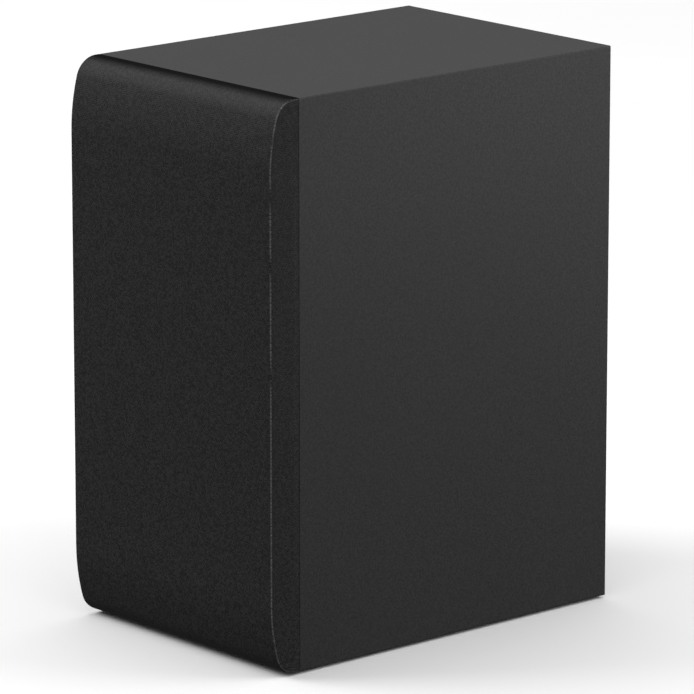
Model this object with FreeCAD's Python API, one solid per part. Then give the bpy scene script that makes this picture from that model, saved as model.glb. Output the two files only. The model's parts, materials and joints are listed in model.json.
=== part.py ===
import FreeCAD, Part
import math
import os

V = FreeCAD.Vector

# A compact wireless bass speaker of a soundbar set: a board cabinet wrapped in vinyl foil,
# a pull-off cloth grille in front, a 140 mm woofer, a duct and an amplifier plate at the back.
# Millimetres. +Z is up, the grille faces -Y, and the origin is on the floor under the middle.

# ---- cabinet ----
WIDTH = 170.0
HEIGHT = 321.0            # floor to the top face
DEPTH = 251.0             # grille face to the back edges
FOOT_STAND = 1.5          # the feet lift the cabinet this far
FOIL = 0.3                # vinyl foil
FOIL_CORNER = 0.8         # outer radius of the folded corners
BOARD = 9.0               # top, bottom, sides and back
BAFFLE = 12.0
BACK_INSET = 4.0          # the back panel lies this far inside the back edges

# ---- grille ----
GRILLE_DEPTH = 20.5
SEAM = 0.5                # shadow gap between grille and cabinet
CLOTH = 0.8
FRAME_WALL = 2.0
BROW_FLAT = 2.8           # level stretch of the profile, next to the cabinet
BROW_RADIUS = 14.0        # tight turn at the brow
BROW_TURN = math.radians(74.4)
CLOTH_EDGE = 0.6          # radius of the cloth over the frame's upright edges
HEM = 7.0                 # cloth folded behind the frame
WINDOW_COLUMNS, WINDOW_ROWS = 6, 9
WINDOW_RIB = 2.4
WINDOW_SIDE_MARGIN = 13.0
PEG_X = 64.0
PEG_HEIGHTS = (24.0, 96.0, 254.0, 298.0)
PEG_RADIUS, PEG_BULB, PEG_LENGTH = 2.8, 2.95, 9.5
SOCKET_BORE, SOCKET_OUTER, SOCKET_LENGTH = 3.05, 4.9, 11.0

# ---- woofer ----
WOOFER_Z = 175.0
FLANGE_RADIUS = 70.0
REBATE = 3.0
WOOFER_HOLE = 61.0
STEEL = 1.2               # stamped basket sheet
ROLL_CENTRE, ROLL_RADIUS, RUBBER = 51.75, 4.75, 0.7
CONE_RIM, CONE_NECK = 47.0, 15.7
CAP_RIM, CAP_RISE, CAP_WALL = 19.5, 6.5, 0.6
SURROUND_EDGE = 62.9
COIL_RADIUS, FORMER_WALL = 15.2, 0.4
POLE_RADIUS, GAP_RADIUS = 14.6, 17.1
MAGNET_RADIUS = 42.5
WOOFER_SCREW_CIRCLE = 66.8

# ---- duct ----
DUCT_Z = 250.0
DUCT_BORE, DUCT_WALL, DUCT_FLARE = 23.0, 2.2, 12.0
DUCT_LENGTH = 118.0
DUCT_FLANGE_RADIUS, DUCT_FLANGE = 44.0, 2.5
DUCT_HOLE = 33.5

# ---- amplifier plate and board ----
PLATE_X, PLATE_Z0, PLATE_Z1 = 60.0, 18.0, 124.0
PLATE_WALL, PLATE_SEAL = 2.5, 0.8
PLATE_CORNER = 6.0
CUTOUT_X, CUTOUT_Z0, CUTOUT_Z1 = 52.0, 26.0, 116.0
POCKET_X, POCKET_Z0, POCKET_Z1 = 42.0, 62.0, 92.0
POCKET_DEPTH = 12.0
CONTROL_Z = 77.0
INLET_X, BUTTON_X, LAMP_X = -22.0, 12.0, 26.0
PIN_SPACING, PIN_RADIUS = 8.6, 1.2
BUTTON_RADIUS, BUTTON_HOLE = 2.95, 3.3
BOARD_X, BOARD_Z0, BOARD_Z1, BOARD_WALL = 50.0, 30.0, 112.0, 1.6
POST_X, POST_Z0, POST_Z1, POST_RADIUS = 45.0, 35.0, 107.0, 3.5

# ---- feet ----
FOOT_RADIUS, FOOT_POCKET = 9.0, 1.2
FOOT_X, FOOT_FRONT_Y, FOOT_BACK_Y = 66.0, -86.0, 106.0

FIT = 0.05                # radial room of pressed and screwed pieces

# ---- places worked out from the sizes above ----
FRONT = -DEPTH / 2
CAB_FRONT = FRONT + GRILLE_DEPTH
CAB_BACK = DEPTH / 2
BASE, TOP = FOOT_STAND, HEIGHT
SKIN = FOIL + BOARD
IN_X = WIDTH / 2 - SKIN
IN_Z0, IN_Z1 = BASE + SKIN, TOP - SKIN
BACK_FACE = CAB_BACK - BACK_INSET
BACK_INNER = BACK_FACE - BOARD
MOUNT_FACE = CAB_FRONT + REBATE               # the woofer's seal rests here
PLATE_BACK = BACK_FACE + PLATE_SEAL
PLATE_FACE = PLATE_BACK + PLATE_WALL
POCKET_FLOOR = PLATE_FACE - POCKET_DEPTH
BOARD_BACK = POCKET_FLOOR - 14.8              # solder side, facing the plate
BOARD_FRONT = BOARD_BACK - BOARD_WALL
WOOFER_SCREW_ANGLES = [math.radians(a) for a in (45, 135, 225, 315)]


# ---------------------------------------------------------------- helpers

def save(name, *solids):
    """One STEP per named piece."""
    shape = solids[0] if len(solids) == 1 else Part.makeCompound(list(solids))
    shape.exportStep("parts/%s.step" % name)


def block(x0, x1, y0, y1, z0, z1):
    return Part.makeBox(x1 - x0, y1 - y0, z1 - z0, V(x0, y0, z0))


def rod(x, z, y0, y1, radius):
    """A cylinder along Y."""
    return Part.makeCylinder(radius, y1 - y0, V(x, y0, z), V(0, 1, 0))


def plate(x0, x1, z0, z1, y0, y1, corner):
    """A slab along Y whose outline is a rectangle with round corners."""
    k = corner * (1 - math.sqrt(0.5))
    path = [
        (x0 + corner, z0), (x1 - corner, z0), ((x1 - k, z0 + k), (x1, z0 + corner)),
        (x1, z1 - corner), ((x1 - k, z1 - k), (x1 - corner, z1)),
        (x0 + corner, z1), ((x0 + k, z1 - k), (x0, z1 - corner)),
        (x0, z0 + corner), ((x0 + k, z0 + k), (x0 + corner, z0)),
    ]
    return outline(path, lambda a, b: V(a, y0, b)).extrude(V(0, y1 - y0, 0))


def outline(path, place):
    """A face from points; a pair (through, end) is an arc."""
    edges = []
    here = place(*path[0])
    for step in path[1:]:
        if isinstance(step[0], tuple):
            through, end = (place(*p) for p in step)
            edges.append(Part.Arc(here, through, end).toShape())
        else:
            end = place(*step)
            edges.append(Part.LineSegment(here, end).toShape())
        here = end
    start = place(*path[0])
    if here.distanceToPoint(start) > 1e-7:
        edges.append(Part.LineSegment(here, start).toShape())
    return Part.Face(Part.Wire(edges))


def turned(path, z=WOOFER_Z):
    """A solid of revolution about the axis along Y at height z; path holds (radius, y)."""
    face = outline(path, lambda r, y: V(r, y, 0))
    solid = face.revolve(V(0, 0, 0), V(0, 1, 0), 360)
    return solid.translated(V(0, 0, z))


def sheet_path(points, thickness):
    """The closed outline of a bent sheet: the given side, then the same line moved sideways."""
    moved = []
    for i, (a, b) in enumerate(points):
        before = points[max(i - 1, 0)]
        after = points[min(i + 1, len(points) - 1)]
        normals = []
        for (p, q) in ((before, (a, b)), ((a, b), after)):
            run, rise = q[0] - p[0], q[1] - p[1]
            size = math.hypot(run, rise)
            if size:
                normals.append((-rise / size, run / size))
        n = [sum(c) / len(normals) for c in zip(*normals)]
        scale = thickness / (n[0] ** 2 + n[1] ** 2)
        moved.append((a + n[0] * scale, b + n[1] * scale))
    return points + moved[::-1]


def around(shape, count, z=WOOFER_Z):
    """Copies of a shape evenly spaced about the axis along Y at height z."""
    return [shape.copy().rotated(V(0, 0, z), V(0, 1, 0), 360.0 * i / count) for i in range(count)]


def on_circle(radius, angles, z=WOOFER_Z):
    return [(radius * math.cos(a), z + radius * math.sin(a)) for a in angles]


def corners(x, z0, z1):
    return [(sx * x, z) for sx in (-1, 1) for z in (z0, z1)]


def cord(points, radius):
    """A round cord along straight runs joined by tangent arcs."""
    points = [V(*p) for p in points]
    edges = []
    radii = []
    here = points[0]
    for before, corner, after in zip(points, points[1:], points[2:]):
        into = (corner - before).normalize()
        out = (after - corner).normalize()
        turn = into.getAngle(out)
        shorter = min((corner - before).Length, (after - corner).Length)
        back = 0.45 * shorter
        bend = back / math.tan(turn / 2)
        radii.append(round(bend, 1))
        start, end = corner - into * back, corner + out * back
        middle = (out - into).normalize()
        through = corner + middle * (bend / math.cos(turn / 2) - bend)
        edges.append(Part.LineSegment(here, start).toShape())
        edges.append(Part.Arc(start, through, end).toShape())
        here = end
    edges.append(Part.LineSegment(here, points[-1]).toShape())
    path = Part.Wire(edges)
    section = Part.Wire(Part.Circle(points[0], points[1] - points[0], radius).toShape())
    solid = path.makePipeShell([section], True, False)
    wanted = math.pi * radius ** 2 * path.Length
    print("cord %.0f mm long, radii %s, volume share %.4f"
          % (path.Length, radii, solid.Volume / wanted))
    return solid


def pan_screw(x, z, under_head, direction, shank, length, head, height):
    """A pan-head screw along Y: direction is the way its head faces."""
    ys = sorted((under_head, under_head - direction * length))
    body = rod(x, z, ys[0], ys[1], shank)
    rim, crown = 0.45 * height, 0.55 * height
    ball = (head ** 2 + crown ** 2) / (2 * crown)
    shoulder = height - ball + math.sqrt(ball ** 2 - (0.7 * head) ** 2)
    cap = [(0, 0), (head, 0), (head, rim), ((0.7 * head, shoulder), (0, height))]
    face = outline(cap, lambda r, y: V(r, direction * y, 0))
    top = face.revolve(V(0, 0, 0), V(0, 1, 0), 360).translated(V(x, under_head, z))
    slot_y = sorted((under_head + direction * 0.45 * height, under_head + direction * 2 * height))
    arm, thin = 0.55 * head, 0.16 * head
    cross = block(x - arm, x + arm, slot_y[0], slot_y[1], z - thin, z + thin).fuse(
        block(x - thin, x + thin, slot_y[0], slot_y[1], z - arm, z + arm))
    return body.fuse(top).cut(cross).removeSplitter()


# ---------------------------------------------------------------- cabinet

def cabinet_boards():
    out_x, out_z0, out_z1 = WIDTH / 2 - FOIL, BASE + FOIL, TOP - FOIL
    front, back = CAB_FRONT + FOIL, CAB_BACK - FOIL
    shell = plate(-out_x, out_x, out_z0, out_z1, front, back, FOIL_CORNER - FOIL)
    outer = {"t": (-out_x, out_z1, out_x, out_z1), "b": (out_x, out_z0, -out_x, out_z0),
             "l": (-out_x, out_z0, -out_x, out_z1), "r": (out_x, out_z1, out_x, out_z0)}
    inner = {"t": (IN_X, IN_Z1, -IN_X, IN_Z1), "b": (-IN_X, IN_Z0, IN_X, IN_Z0),
             "l": (-IN_X, IN_Z1, -IN_X, IN_Z0), "r": (IN_X, IN_Z0, IN_X, IN_Z1)}
    names = {"t": "top_panel", "b": "bottom_panel", "l": "left_panel", "r": "right_panel"}
    pockets = Part.makeCompound([foot_cylinder(x, y, FOOT_RADIUS + FIT) for x, y in foot_places()])
    for side, name in names.items():
        a, b = outer[side], inner[side]
        mitred = outline([(a[0], a[1]), (a[2], a[3]), (b[0], b[1]), (b[2], b[3])],
                         lambda p, q: V(p, front, q)).extrude(V(0, back - front, 0))
        board = mitred.common(shell)
        if side == "b":
            board = board.cut(pockets)
        save(name, board)


def vinyl_wrap():
    """Foil over the four boards, folded over both ends and into the recess at the back."""
    outer = plate(-WIDTH / 2, WIDTH / 2, BASE, TOP, CAB_FRONT, CAB_BACK, FOIL_CORNER)
    inner = plate(-WIDTH / 2 + FOIL, WIDTH / 2 - FOIL, BASE + FOIL, TOP - FOIL,
                  CAB_FRONT + FOIL, CAB_BACK - FOIL, FOIL_CORNER - FOIL)
    room = block(-IN_X, IN_X, CAB_FRONT, CAB_BACK, IN_Z0, IN_Z1)
    lining = block(-IN_X, IN_X, BACK_FACE, CAB_BACK, IN_Z0, IN_Z1).cut(
        block(-IN_X + FOIL, IN_X - FOIL, BACK_FACE, CAB_BACK, IN_Z0 + FOIL, IN_Z1 - FOIL))
    foil = outer.cut(inner).cut(room).fuse(lining)
    for x, y in foot_places():
        foil = foil.cut(foot_cylinder(x, y, FOOT_RADIUS + FIT))
    save("vinyl_wrap", foil)


def foot_places():
    return [(sx * FOOT_X, y) for sx in (-1, 1) for y in (FOOT_FRONT_Y, FOOT_BACK_Y)]


def foot_cylinder(x, y, radius):
    return Part.makeCylinder(radius, BASE + FOOT_POCKET, V(x, y, 0))


def rubber_feet():
    feet = []
    for x, y in foot_places():
        foot = foot_cylinder(x, y, FOOT_RADIUS)
        rim = [e for e in foot.Edges if e.BoundBox.ZMax < 0.01 and len(e.Vertexes) == 1]
        feet.append(foot.makeFillet(0.5, rim))
    save("rubber_feet", *feet)


def front_baffle():
    panel = block(-IN_X, IN_X, CAB_FRONT, CAB_FRONT + BAFFLE, IN_Z0, IN_Z1)
    panel = panel.cut(rod(0, WOOFER_Z, CAB_FRONT, MOUNT_FACE, FLANGE_RADIUS + 0.5))
    panel = panel.cut(rod(0, WOOFER_Z, CAB_FRONT, CAB_FRONT + BAFFLE, WOOFER_HOLE))
    for x, z in on_circle(WOOFER_SCREW_CIRCLE, WOOFER_SCREW_ANGLES):
        panel = panel.cut(rod(x, z, CAB_FRONT, CAB_FRONT + BAFFLE, 1.9 + FIT))
    for x, z in peg_places():
        panel = panel.cut(rod(x, z, CAB_FRONT, CAB_FRONT + SOCKET_LENGTH, SOCKET_OUTER + FIT))
    save("front_baffle", panel)


def rear_panel():
    panel = block(-IN_X, IN_X, BACK_INNER, BACK_FACE, IN_Z0, IN_Z1)
    panel = panel.cut(rod(0, DUCT_Z, BACK_INNER, BACK_FACE, DUCT_HOLE))
    panel = panel.cut(plate(-CUTOUT_X, CUTOUT_X, CUTOUT_Z0, CUTOUT_Z1, BACK_INNER, BACK_FACE, 3.0))
    for x, z in plate_screw_places():
        panel = panel.cut(rod(x, z, BACK_INNER, BACK_FACE, 1.5 + FIT))
    for x, z in duct_screw_places():
        panel = panel.cut(rod(x, z, BACK_INNER, BACK_FACE, 1.5 + FIT))
    save("rear_panel", panel)


def wadding():
    """Polyester pads on both side walls and under the top."""
    y0, y1, z0, z1, thick = -76.0, 94.0, 134.0, 296.0, 9.0
    gap = 0.4
    left = block(-IN_X + gap, -IN_X + gap + thick, y0, y1, z0, z1)
    right = block(IN_X - gap - thick, IN_X - gap, y0, y1, z0, z1)
    top = block(-60.0, 60.0, y0, y1, IN_Z1 - gap - thick, IN_Z1 - gap)
    save("wadding_pads", left, right, top)


# ---------------------------------------------------------------- grille

def grille_block(inset, back):
    """The grille's outer form moved inwards by inset, ending at y = back."""
    tight = BROW_RADIUS - inset
    long_radius = (GRILLE_DEPTH - BROW_FLAT - BROW_RADIUS * math.sin(BROW_TURN)) / (
        1 - math.sin(BROW_TURN))
    gentle = long_radius - inset

    def half(edge, way):
        """Points from the cabinet to the face, for the top (way 1) or the bottom (way -1)."""
        cy, cz = CAB_FRONT - BROW_FLAT, edge - way * BROW_RADIUS
        far = long_radius - BROW_RADIUS
        gy, gz = cy + far * math.sin(BROW_TURN), cz - way * far * math.cos(BROW_TURN)

        def on(y, z, radius, turn):
            return (y - radius * math.sin(turn), z + way * radius * math.cos(turn))

        middle = (BROW_TURN + math.pi / 2) / 2
        return [(back, edge - way * inset), (cy, edge - way * inset),
                (on(cy, cz, tight, BROW_TURN / 2), on(cy, cz, tight, BROW_TURN)),
                (on(gy, gz, gentle, middle), on(gy, gz, gentle, math.pi / 2))]

    upper, lower = half(TOP, 1), half(BASE, -1)
    down = [lower[3][1], (lower[3][0], lower[2][1]), (lower[2][0], lower[1]), lower[0]]
    half_width = WIDTH / 2 - inset
    face = outline(upper + down, lambda y, z: V(-half_width, y, z))
    return face.extrude(V(2 * half_width, 0, 0))


def peg_places():
    return [(sx * PEG_X, z) for sx in (-1, 1) for z in PEG_HEIGHTS]


def grille_fabric():
    back = CAB_FRONT - SEAM
    outer = grille_block(0, back)
    half = WIDTH / 2
    edges = [e for e in outer.Edges
             if abs(abs(e.BoundBox.XMin) - half) < 1e-6 and abs(e.BoundBox.XMax - e.BoundBox.XMin) < 1e-6
             and e.BoundBox.YMin < back - 0.01]
    outer = outer.makeFillet(CLOTH_EDGE, edges)
    hollow = grille_block(CLOTH, back - CLOTH)
    mouth = block(-half + HEM, half - HEM, back - 2 * CLOTH, back, BASE + HEM, TOP - HEM)
    save("grille_fabric", outer.cut(hollow).cut(mouth))


def grille_frame():
    back = CAB_FRONT - SEAM - CLOTH
    outer = grille_block(CLOTH, back)
    shell = outer.cut(grille_block(CLOTH + FRAME_WALL, back))
    long_radius = (GRILLE_DEPTH - BROW_FLAT - BROW_RADIUS * math.sin(BROW_TURN)) / (
        1 - math.sin(BROW_TURN))
    brow = BROW_RADIUS * (1 - math.cos(BROW_TURN)) + long_radius * math.cos(BROW_TURN)
    x0, z0 = -WIDTH / 2 + WINDOW_SIDE_MARGIN, BASE + brow
    pitch_x = (-2 * x0 + WINDOW_RIB) / WINDOW_COLUMNS
    pitch_z = (TOP - BASE - 2 * brow + WINDOW_RIB) / WINDOW_ROWS
    windows = []
    for column in range(WINDOW_COLUMNS):
        for row in range(WINDOW_ROWS):
            x, z = x0 + column * pitch_x, z0 + row * pitch_z
            windows.append(plate(x, x + pitch_x - WINDOW_RIB, z, z + pitch_z - WINDOW_RIB,
                                 FRONT - 1, FRONT + CLOTH + FRAME_WALL + 1, 2.5))
    shell = shell.cut(Part.makeCompound(windows))
    face_inner = FRONT + CLOTH + FRAME_WALL
    extras = []
    for column in (2, 4):
        x = x0 + column * pitch_x - WINDOW_RIB
        extras.append(block(x, x + WINDOW_RIB, FRONT + CLOTH + 0.5, face_inner + 4.0, BASE + 14, TOP - 14))
    for row in (2, 7):
        z = z0 + row * pitch_z - WINDOW_RIB
        extras.append(block(-WIDTH / 2 + 1.5, WIDTH / 2 - 1.5, FRONT + CLOTH + 0.5, face_inner + 4.0,
                            z, z + WINDOW_RIB))
    for x, z in peg_places():
        extras.append(rod(x, z, FRONT, back, 5.0))
    frame = shell.multiFuse([e.common(outer) for e in extras])
    pegs = []
    for x, z in peg_places():
        tip = back + SEAM + CLOTH + PEG_LENGTH
        stem = rod(x, z, back - 1, tip - 1, PEG_RADIUS)
        bulb = Part.makeSphere(PEG_BULB, V(x, tip - PEG_BULB, z))
        pegs += [stem, bulb]
    save("grille_frame", frame.multiFuse(pegs).removeSplitter())


def grille_sockets():
    sockets = []
    for x, z in peg_places():
        cup = rod(x, z, CAB_FRONT, CAB_FRONT + SOCKET_LENGTH - 0.1, SOCKET_OUTER)
        bore = rod(x, z, CAB_FRONT, CAB_FRONT + SOCKET_LENGTH - 1.0, SOCKET_BORE)
        sockets.append(cup.cut(bore))
    save("grille_sockets", *sockets)


# ---------------------------------------------------------------- woofer

FLANGE_BACK = MOUNT_FACE - 0.8                # sheet steel flange, on the foam seal
FLANGE_FACE = FLANGE_BACK - STEEL
SHELF = MOUNT_FACE + 26.8                     # spider landing
BASKET_FLOOR = MOUNT_FACE + 44.8
POLE_FRONT = BASKET_FLOOR + STEEL
MAGNET_FRONT = POLE_FRONT + 5.0
MAGNET_BACK = MAGNET_FRONT + 15.0
RUBBER_FACE = FLANGE_FACE - RUBBER
CONE_NECK_Y = FLANGE_FACE + 17.5


def woofer_basket():
    path = [(FLANGE_RADIUS, FLANGE_FACE), (57.6, FLANGE_FACE), (56.0, FLANGE_FACE + 12.0),
            (43.5, SHELF), (37.5, SHELF), (35.5, BASKET_FLOOR), (19.5, BASKET_FLOOR)]
    basket = turned(sheet_path(path, -STEEL))
    wide = block(-13.0, 13.0, FLANGE_FACE + 14.0, SHELF - 2.0, WOOFER_Z + 40.0, WOOFER_Z + 62.0)
    low = block(-7.5, 7.5, SHELF + 4.0, BASKET_FLOOR - 3.0, WOOFER_Z + 30.0, WOOFER_Z + 42.0)
    basket = basket.cut(Part.makeCompound(around(wide, 6) + around(low, 6)))
    for x, z in on_circle(WOOFER_SCREW_CIRCLE, WOOFER_SCREW_ANGLES):
        basket = basket.cut(rod(x, z, FLANGE_FACE - 1, FLANGE_BACK + 1, 2.3))
    save("woofer_basket", basket)


def woofer_rings():
    seal = turned([(WOOFER_HOLE + 0.5, FLANGE_BACK), (FLANGE_RADIUS - 0.5, FLANGE_BACK),
                   (FLANGE_RADIUS - 0.5, MOUNT_FACE), (WOOFER_HOLE + 0.5, MOUNT_FACE)])
    trim = turned([(57.3, RUBBER_FACE), (63.0, RUBBER_FACE), (63.0, FLANGE_FACE), (69.6, FLANGE_FACE),
                   (69.6, FLANGE_FACE - 1.2), (69.2, FLANGE_FACE - 1.6), (57.7, FLANGE_FACE - 1.6),
                   (57.3, FLANGE_FACE - 1.2)])
    for x, z in on_circle(WOOFER_SCREW_CIRCLE, WOOFER_SCREW_ANGLES):
        seal = seal.cut(rod(x, z, FLANGE_BACK - 1, MOUNT_FACE + 1, 2.3))
        trim = trim.cut(rod(x, z, FLANGE_FACE - 3, FLANGE_FACE + 1, 4.1))
    save("woofer_seal", seal)
    save("woofer_trim_ring", trim)
    screws = [pan_screw(x, z, FLANGE_FACE, -1, 1.9, 12.5, 3.6, 2.3)
              for x, z in on_circle(WOOFER_SCREW_CIRCLE, WOOFER_SCREW_ANGLES)]
    save("woofer_screws", *screws)


def woofer_moving_parts():
    under, over = ROLL_RADIUS - RUBBER / 2, ROLL_RADIUS + RUBBER / 2
    reach = math.sqrt(over ** 2 - RUBBER ** 2)
    save("woofer_surround", turned([
        (CONE_RIM - 3.4, FLANGE_FACE), (ROLL_CENTRE - under, FLANGE_FACE),
        ((ROLL_CENTRE, FLANGE_FACE - under), (ROLL_CENTRE + under, FLANGE_FACE)),
        (SURROUND_EDGE, FLANGE_FACE), (SURROUND_EDGE, RUBBER_FACE), (ROLL_CENTRE + reach, RUBBER_FACE),
        ((ROLL_CENTRE, FLANGE_FACE - over), (ROLL_CENTRE - reach, RUBBER_FACE)),
        (CONE_RIM - 3.4, RUBBER_FACE)]))
    save("woofer_cone", turned([
        (CONE_RIM, FLANGE_FACE), (CONE_RIM - 3.6, FLANGE_FACE), (CONE_NECK, CONE_NECK_Y),
        (CONE_NECK, CONE_NECK_Y + 1.0), (CONE_RIM - 3.4, FLANGE_FACE + 0.9),
        (CONE_RIM, FLANGE_FACE + 0.8)]))
    slope = (CONE_NECK_Y - FLANGE_FACE) / (CONE_RIM - 3.6 - CONE_NECK)
    seat = CONE_NECK_Y - (CAP_RIM - CONE_NECK) * slope
    ball = (CAP_RIM ** 2 + CAP_RISE ** 2) / (2 * CAP_RISE)
    centre = seat - CAP_RISE + ball
    thin = ball - CAP_WALL
    edge = math.sqrt(thin ** 2 - (centre - seat) ** 2)

    def on_cap(radius, r):
        return (r, centre - math.sqrt(radius ** 2 - r ** 2))

    save("dust_cap", turned([
        (edge, seat), (CAP_RIM, seat), (on_cap(ball, CAP_RIM / 2), (0, centre - ball)),
        (0, centre - thin), (on_cap(thin, edge / 2), (edge, seat))]))
    coil_bottom = MAGNET_FRONT + 5.0
    save("voice_coil_former", turned([
        (COIL_RADIUS, CONE_NECK_Y - 0.5), (COIL_RADIUS + FORMER_WALL, CONE_NECK_Y - 0.5),
        (COIL_RADIUS + FORMER_WALL, coil_bottom), (COIL_RADIUS, coil_bottom)]))
    wire_in, wire_out = COIL_RADIUS + FORMER_WALL, COIL_RADIUS + FORMER_WALL + 0.9
    save("voice_coil_winding", turned([
        (wire_in, coil_bottom - 13.5), (wire_out, coil_bottom - 13.5),
        (wire_out, coil_bottom - 1.5), (wire_in, coil_bottom - 1.5)]))


def spider():
    """The corrugated cloth ring that centres the coil."""
    cloth, pitch, swell, waves = 0.5, 2.0, 0.6, 9
    neck = COIL_RADIUS + FORMER_WALL + 0.3
    first = neck + 1.7
    near = [(neck, SHELF - cloth), (first, SHELF - cloth)]
    far = [(neck, SHELF), (first, SHELF)]
    for i in range(waves):
        r = first + i * pitch
        bulge = swell * (-1) ** i
        near.append(((r + pitch / 2, SHELF - cloth + bulge), (r + pitch, SHELF - cloth)))
        far.append(((r + pitch / 2, SHELF + bulge), (r + pitch, SHELF)))
    last = 42.0
    back_again = [(last, SHELF)]
    for i in range(len(far) - 1, 0, -1):
        step = far[i]
        start = step[1] if isinstance(step[0], tuple) else step
        before = far[i - 1][1] if isinstance(far[i - 1][0], tuple) else far[i - 1]
        if i == len(far) - 1:
            back_again.append(start)
        back_again.append((step[0], before) if isinstance(step[0], tuple) else before)
    save("spider", turned(near + [(last, SHELF - cloth)] + back_again))


def woofer_motor():
    save("top_plate", turned([(GAP_RADIUS, POLE_FRONT), (38.0, POLE_FRONT), (38.0, MAGNET_FRONT),
                              (GAP_RADIUS, MAGNET_FRONT)]))
    save("ring_magnet", turned([(21.0, MAGNET_FRONT), (MAGNET_RADIUS - 1, MAGNET_FRONT),
                                (MAGNET_RADIUS, MAGNET_FRONT + 1), (MAGNET_RADIUS, MAGNET_BACK - 1),
                                (MAGNET_RADIUS - 1, MAGNET_BACK), (21.0, MAGNET_BACK)]))
    vent = 5.0
    save("pole_yoke", turned([(vent, POLE_FRONT - 1.0), (POLE_RADIUS - 0.8, POLE_FRONT - 1.0),
                              (POLE_RADIUS, POLE_FRONT - 0.2), (POLE_RADIUS, MAGNET_BACK),
                              (40.0, MAGNET_BACK), (40.0, MAGNET_BACK + 4.0), (39.0, MAGNET_BACK + 5.0),
                              (vent + 2.0, MAGNET_BACK + 5.0), (vent, MAGNET_BACK + 3.0)]))


TERMINAL_X = 8.0
STRIP_TOP = WOOFER_Z - 58.6
STRIP_BOTTOM = STRIP_TOP - 1.6
STRIP_FRONT = MOUNT_FACE + 10.6
LUG_END = STRIP_FRONT + 21.0


def woofer_terminals():
    strip = block(-13.0, 13.0, STRIP_FRONT, STRIP_FRONT + 10.0, STRIP_BOTTOM, STRIP_TOP)
    rivet = Part.makeCylinder(1.8, 4.6, V(0, STRIP_FRONT + 5.0, STRIP_TOP))
    basket_wall = turned([(0, FLANGE_FACE), (57.6 + STEEL, FLANGE_FACE), (56.0 + STEEL, FLANGE_FACE + 12.6),
                          (43.5 + STEEL, SHELF + 0.8), (0, SHELF + 0.8)])
    save("terminal_strip", strip, rivet.cut(basket_wall))
    lugs = [block(sx * TERMINAL_X - 2.4, sx * TERMINAL_X + 2.4, STRIP_FRONT + 2.0, LUG_END,
                  STRIP_BOTTOM - 0.8, STRIP_BOTTOM) for sx in (-1, 1)]
    save("terminal_lugs", *lugs)
    slope = (CONE_NECK_Y - FLANGE_FACE) / (CONE_RIM - 3.6 - CONE_NECK)
    reach = 27.0
    landing = CONE_NECK_Y + 1.6 - (reach - CONE_NECK) * slope
    leads = []
    for sx in (-1, 1):
        leads.append(cord([(sx * 9.5, STRIP_FRONT + 6.0, STRIP_TOP + 0.8),
                           (sx * 10.5, STRIP_FRONT + 7.5, STRIP_TOP + 9.0),
                           (sx * 9.5, STRIP_FRONT + 8.0, STRIP_TOP + 18.0),
                           (sx * 7.5, landing + 6.0, WOOFER_Z - reach - 5.0),
                           (sx * 6.5, landing + 0.6, WOOFER_Z - reach + 1.0)], 0.6))
    save("tinsel_leads", *leads)


# ---------------------------------------------------------------- duct

def duct():
    outer_face = BACK_FACE + DUCT_FLANGE
    centre_r, centre_y = DUCT_BORE + DUCT_FLARE, outer_face - DUCT_FLARE
    shell = DUCT_FLARE - DUCT_WALL
    inner_end = BACK_FACE - DUCT_LENGTH

    def flare(radius, turn):
        return (centre_r - radius * math.cos(turn), centre_y + radius * math.sin(turn))

    meet = math.asin((BACK_FACE - centre_y) / shell)
    tube = turned([
        (DUCT_BORE, inner_end), (DUCT_BORE, centre_y),
        (flare(DUCT_FLARE, math.pi / 4), flare(DUCT_FLARE, math.pi / 2)),
        (DUCT_FLANGE_RADIUS - 1.2, outer_face),
        ((DUCT_FLANGE_RADIUS - 0.35, outer_face - 0.35), (DUCT_FLANGE_RADIUS, outer_face - 1.2)),
        (DUCT_FLANGE_RADIUS, BACK_FACE), flare(shell, meet),
        (flare(shell, meet / 2), (DUCT_BORE + DUCT_WALL, centre_y)),
        (DUCT_BORE + DUCT_WALL, inner_end)], DUCT_Z)
    for x, z in duct_screw_places():
        tube = tube.cut(rod(x, z, BACK_FACE - 1, outer_face + 1, 1.7))
        tube = tube.cut(rod(x, z, outer_face - 1.3, outer_face + 1, 3.0))
    save("duct_tube", tube)
    sleeve, lap, mouth = DUCT_BORE + DUCT_WALL + FIT, 12.0, 10.0
    end_y = inner_end - mouth - 1.0
    k = math.sqrt(0.5)
    save("duct_inner_flare", turned([
        (sleeve, inner_end + lap), (sleeve, inner_end - 0.2), (DUCT_BORE, inner_end - 0.2),
        (DUCT_BORE, end_y + mouth),
        ((DUCT_BORE + mouth * (1 - k), end_y + mouth * (1 - k)), (DUCT_BORE + mouth, end_y)),
        (DUCT_BORE + mouth, end_y + 2.0),
        ((DUCT_BORE + 4.6 + (mouth - 4.6) * (1 - k), end_y + 2.0 + (mouth - 2.6) * (1 - k)),
         (DUCT_BORE + 4.6, end_y + mouth - 0.6)),
        (sleeve + 1.8, inner_end + lap)], DUCT_Z))
    screws = [pan_screw(x, z, outer_face - 1.3, 1, 1.5, 9.0, 2.8, 1.6) for x, z in duct_screw_places()]
    save("duct_screws", *screws)


def duct_screw_places():
    return on_circle(40.2, [math.radians(a) for a in (45, 135, 225, 315)], DUCT_Z)


# ---------------------------------------------------------------- amplifier

def plate_screw_places():
    x, z0, z1 = PLATE_X - 4.0, PLATE_Z0 + 4.0, PLATE_Z1 - 4.0
    middle = (z0 + z1) / 2
    return corners(x, z0, z1) + [(-x, middle), (x, middle), (0, z0), (0, z1)]


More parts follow.
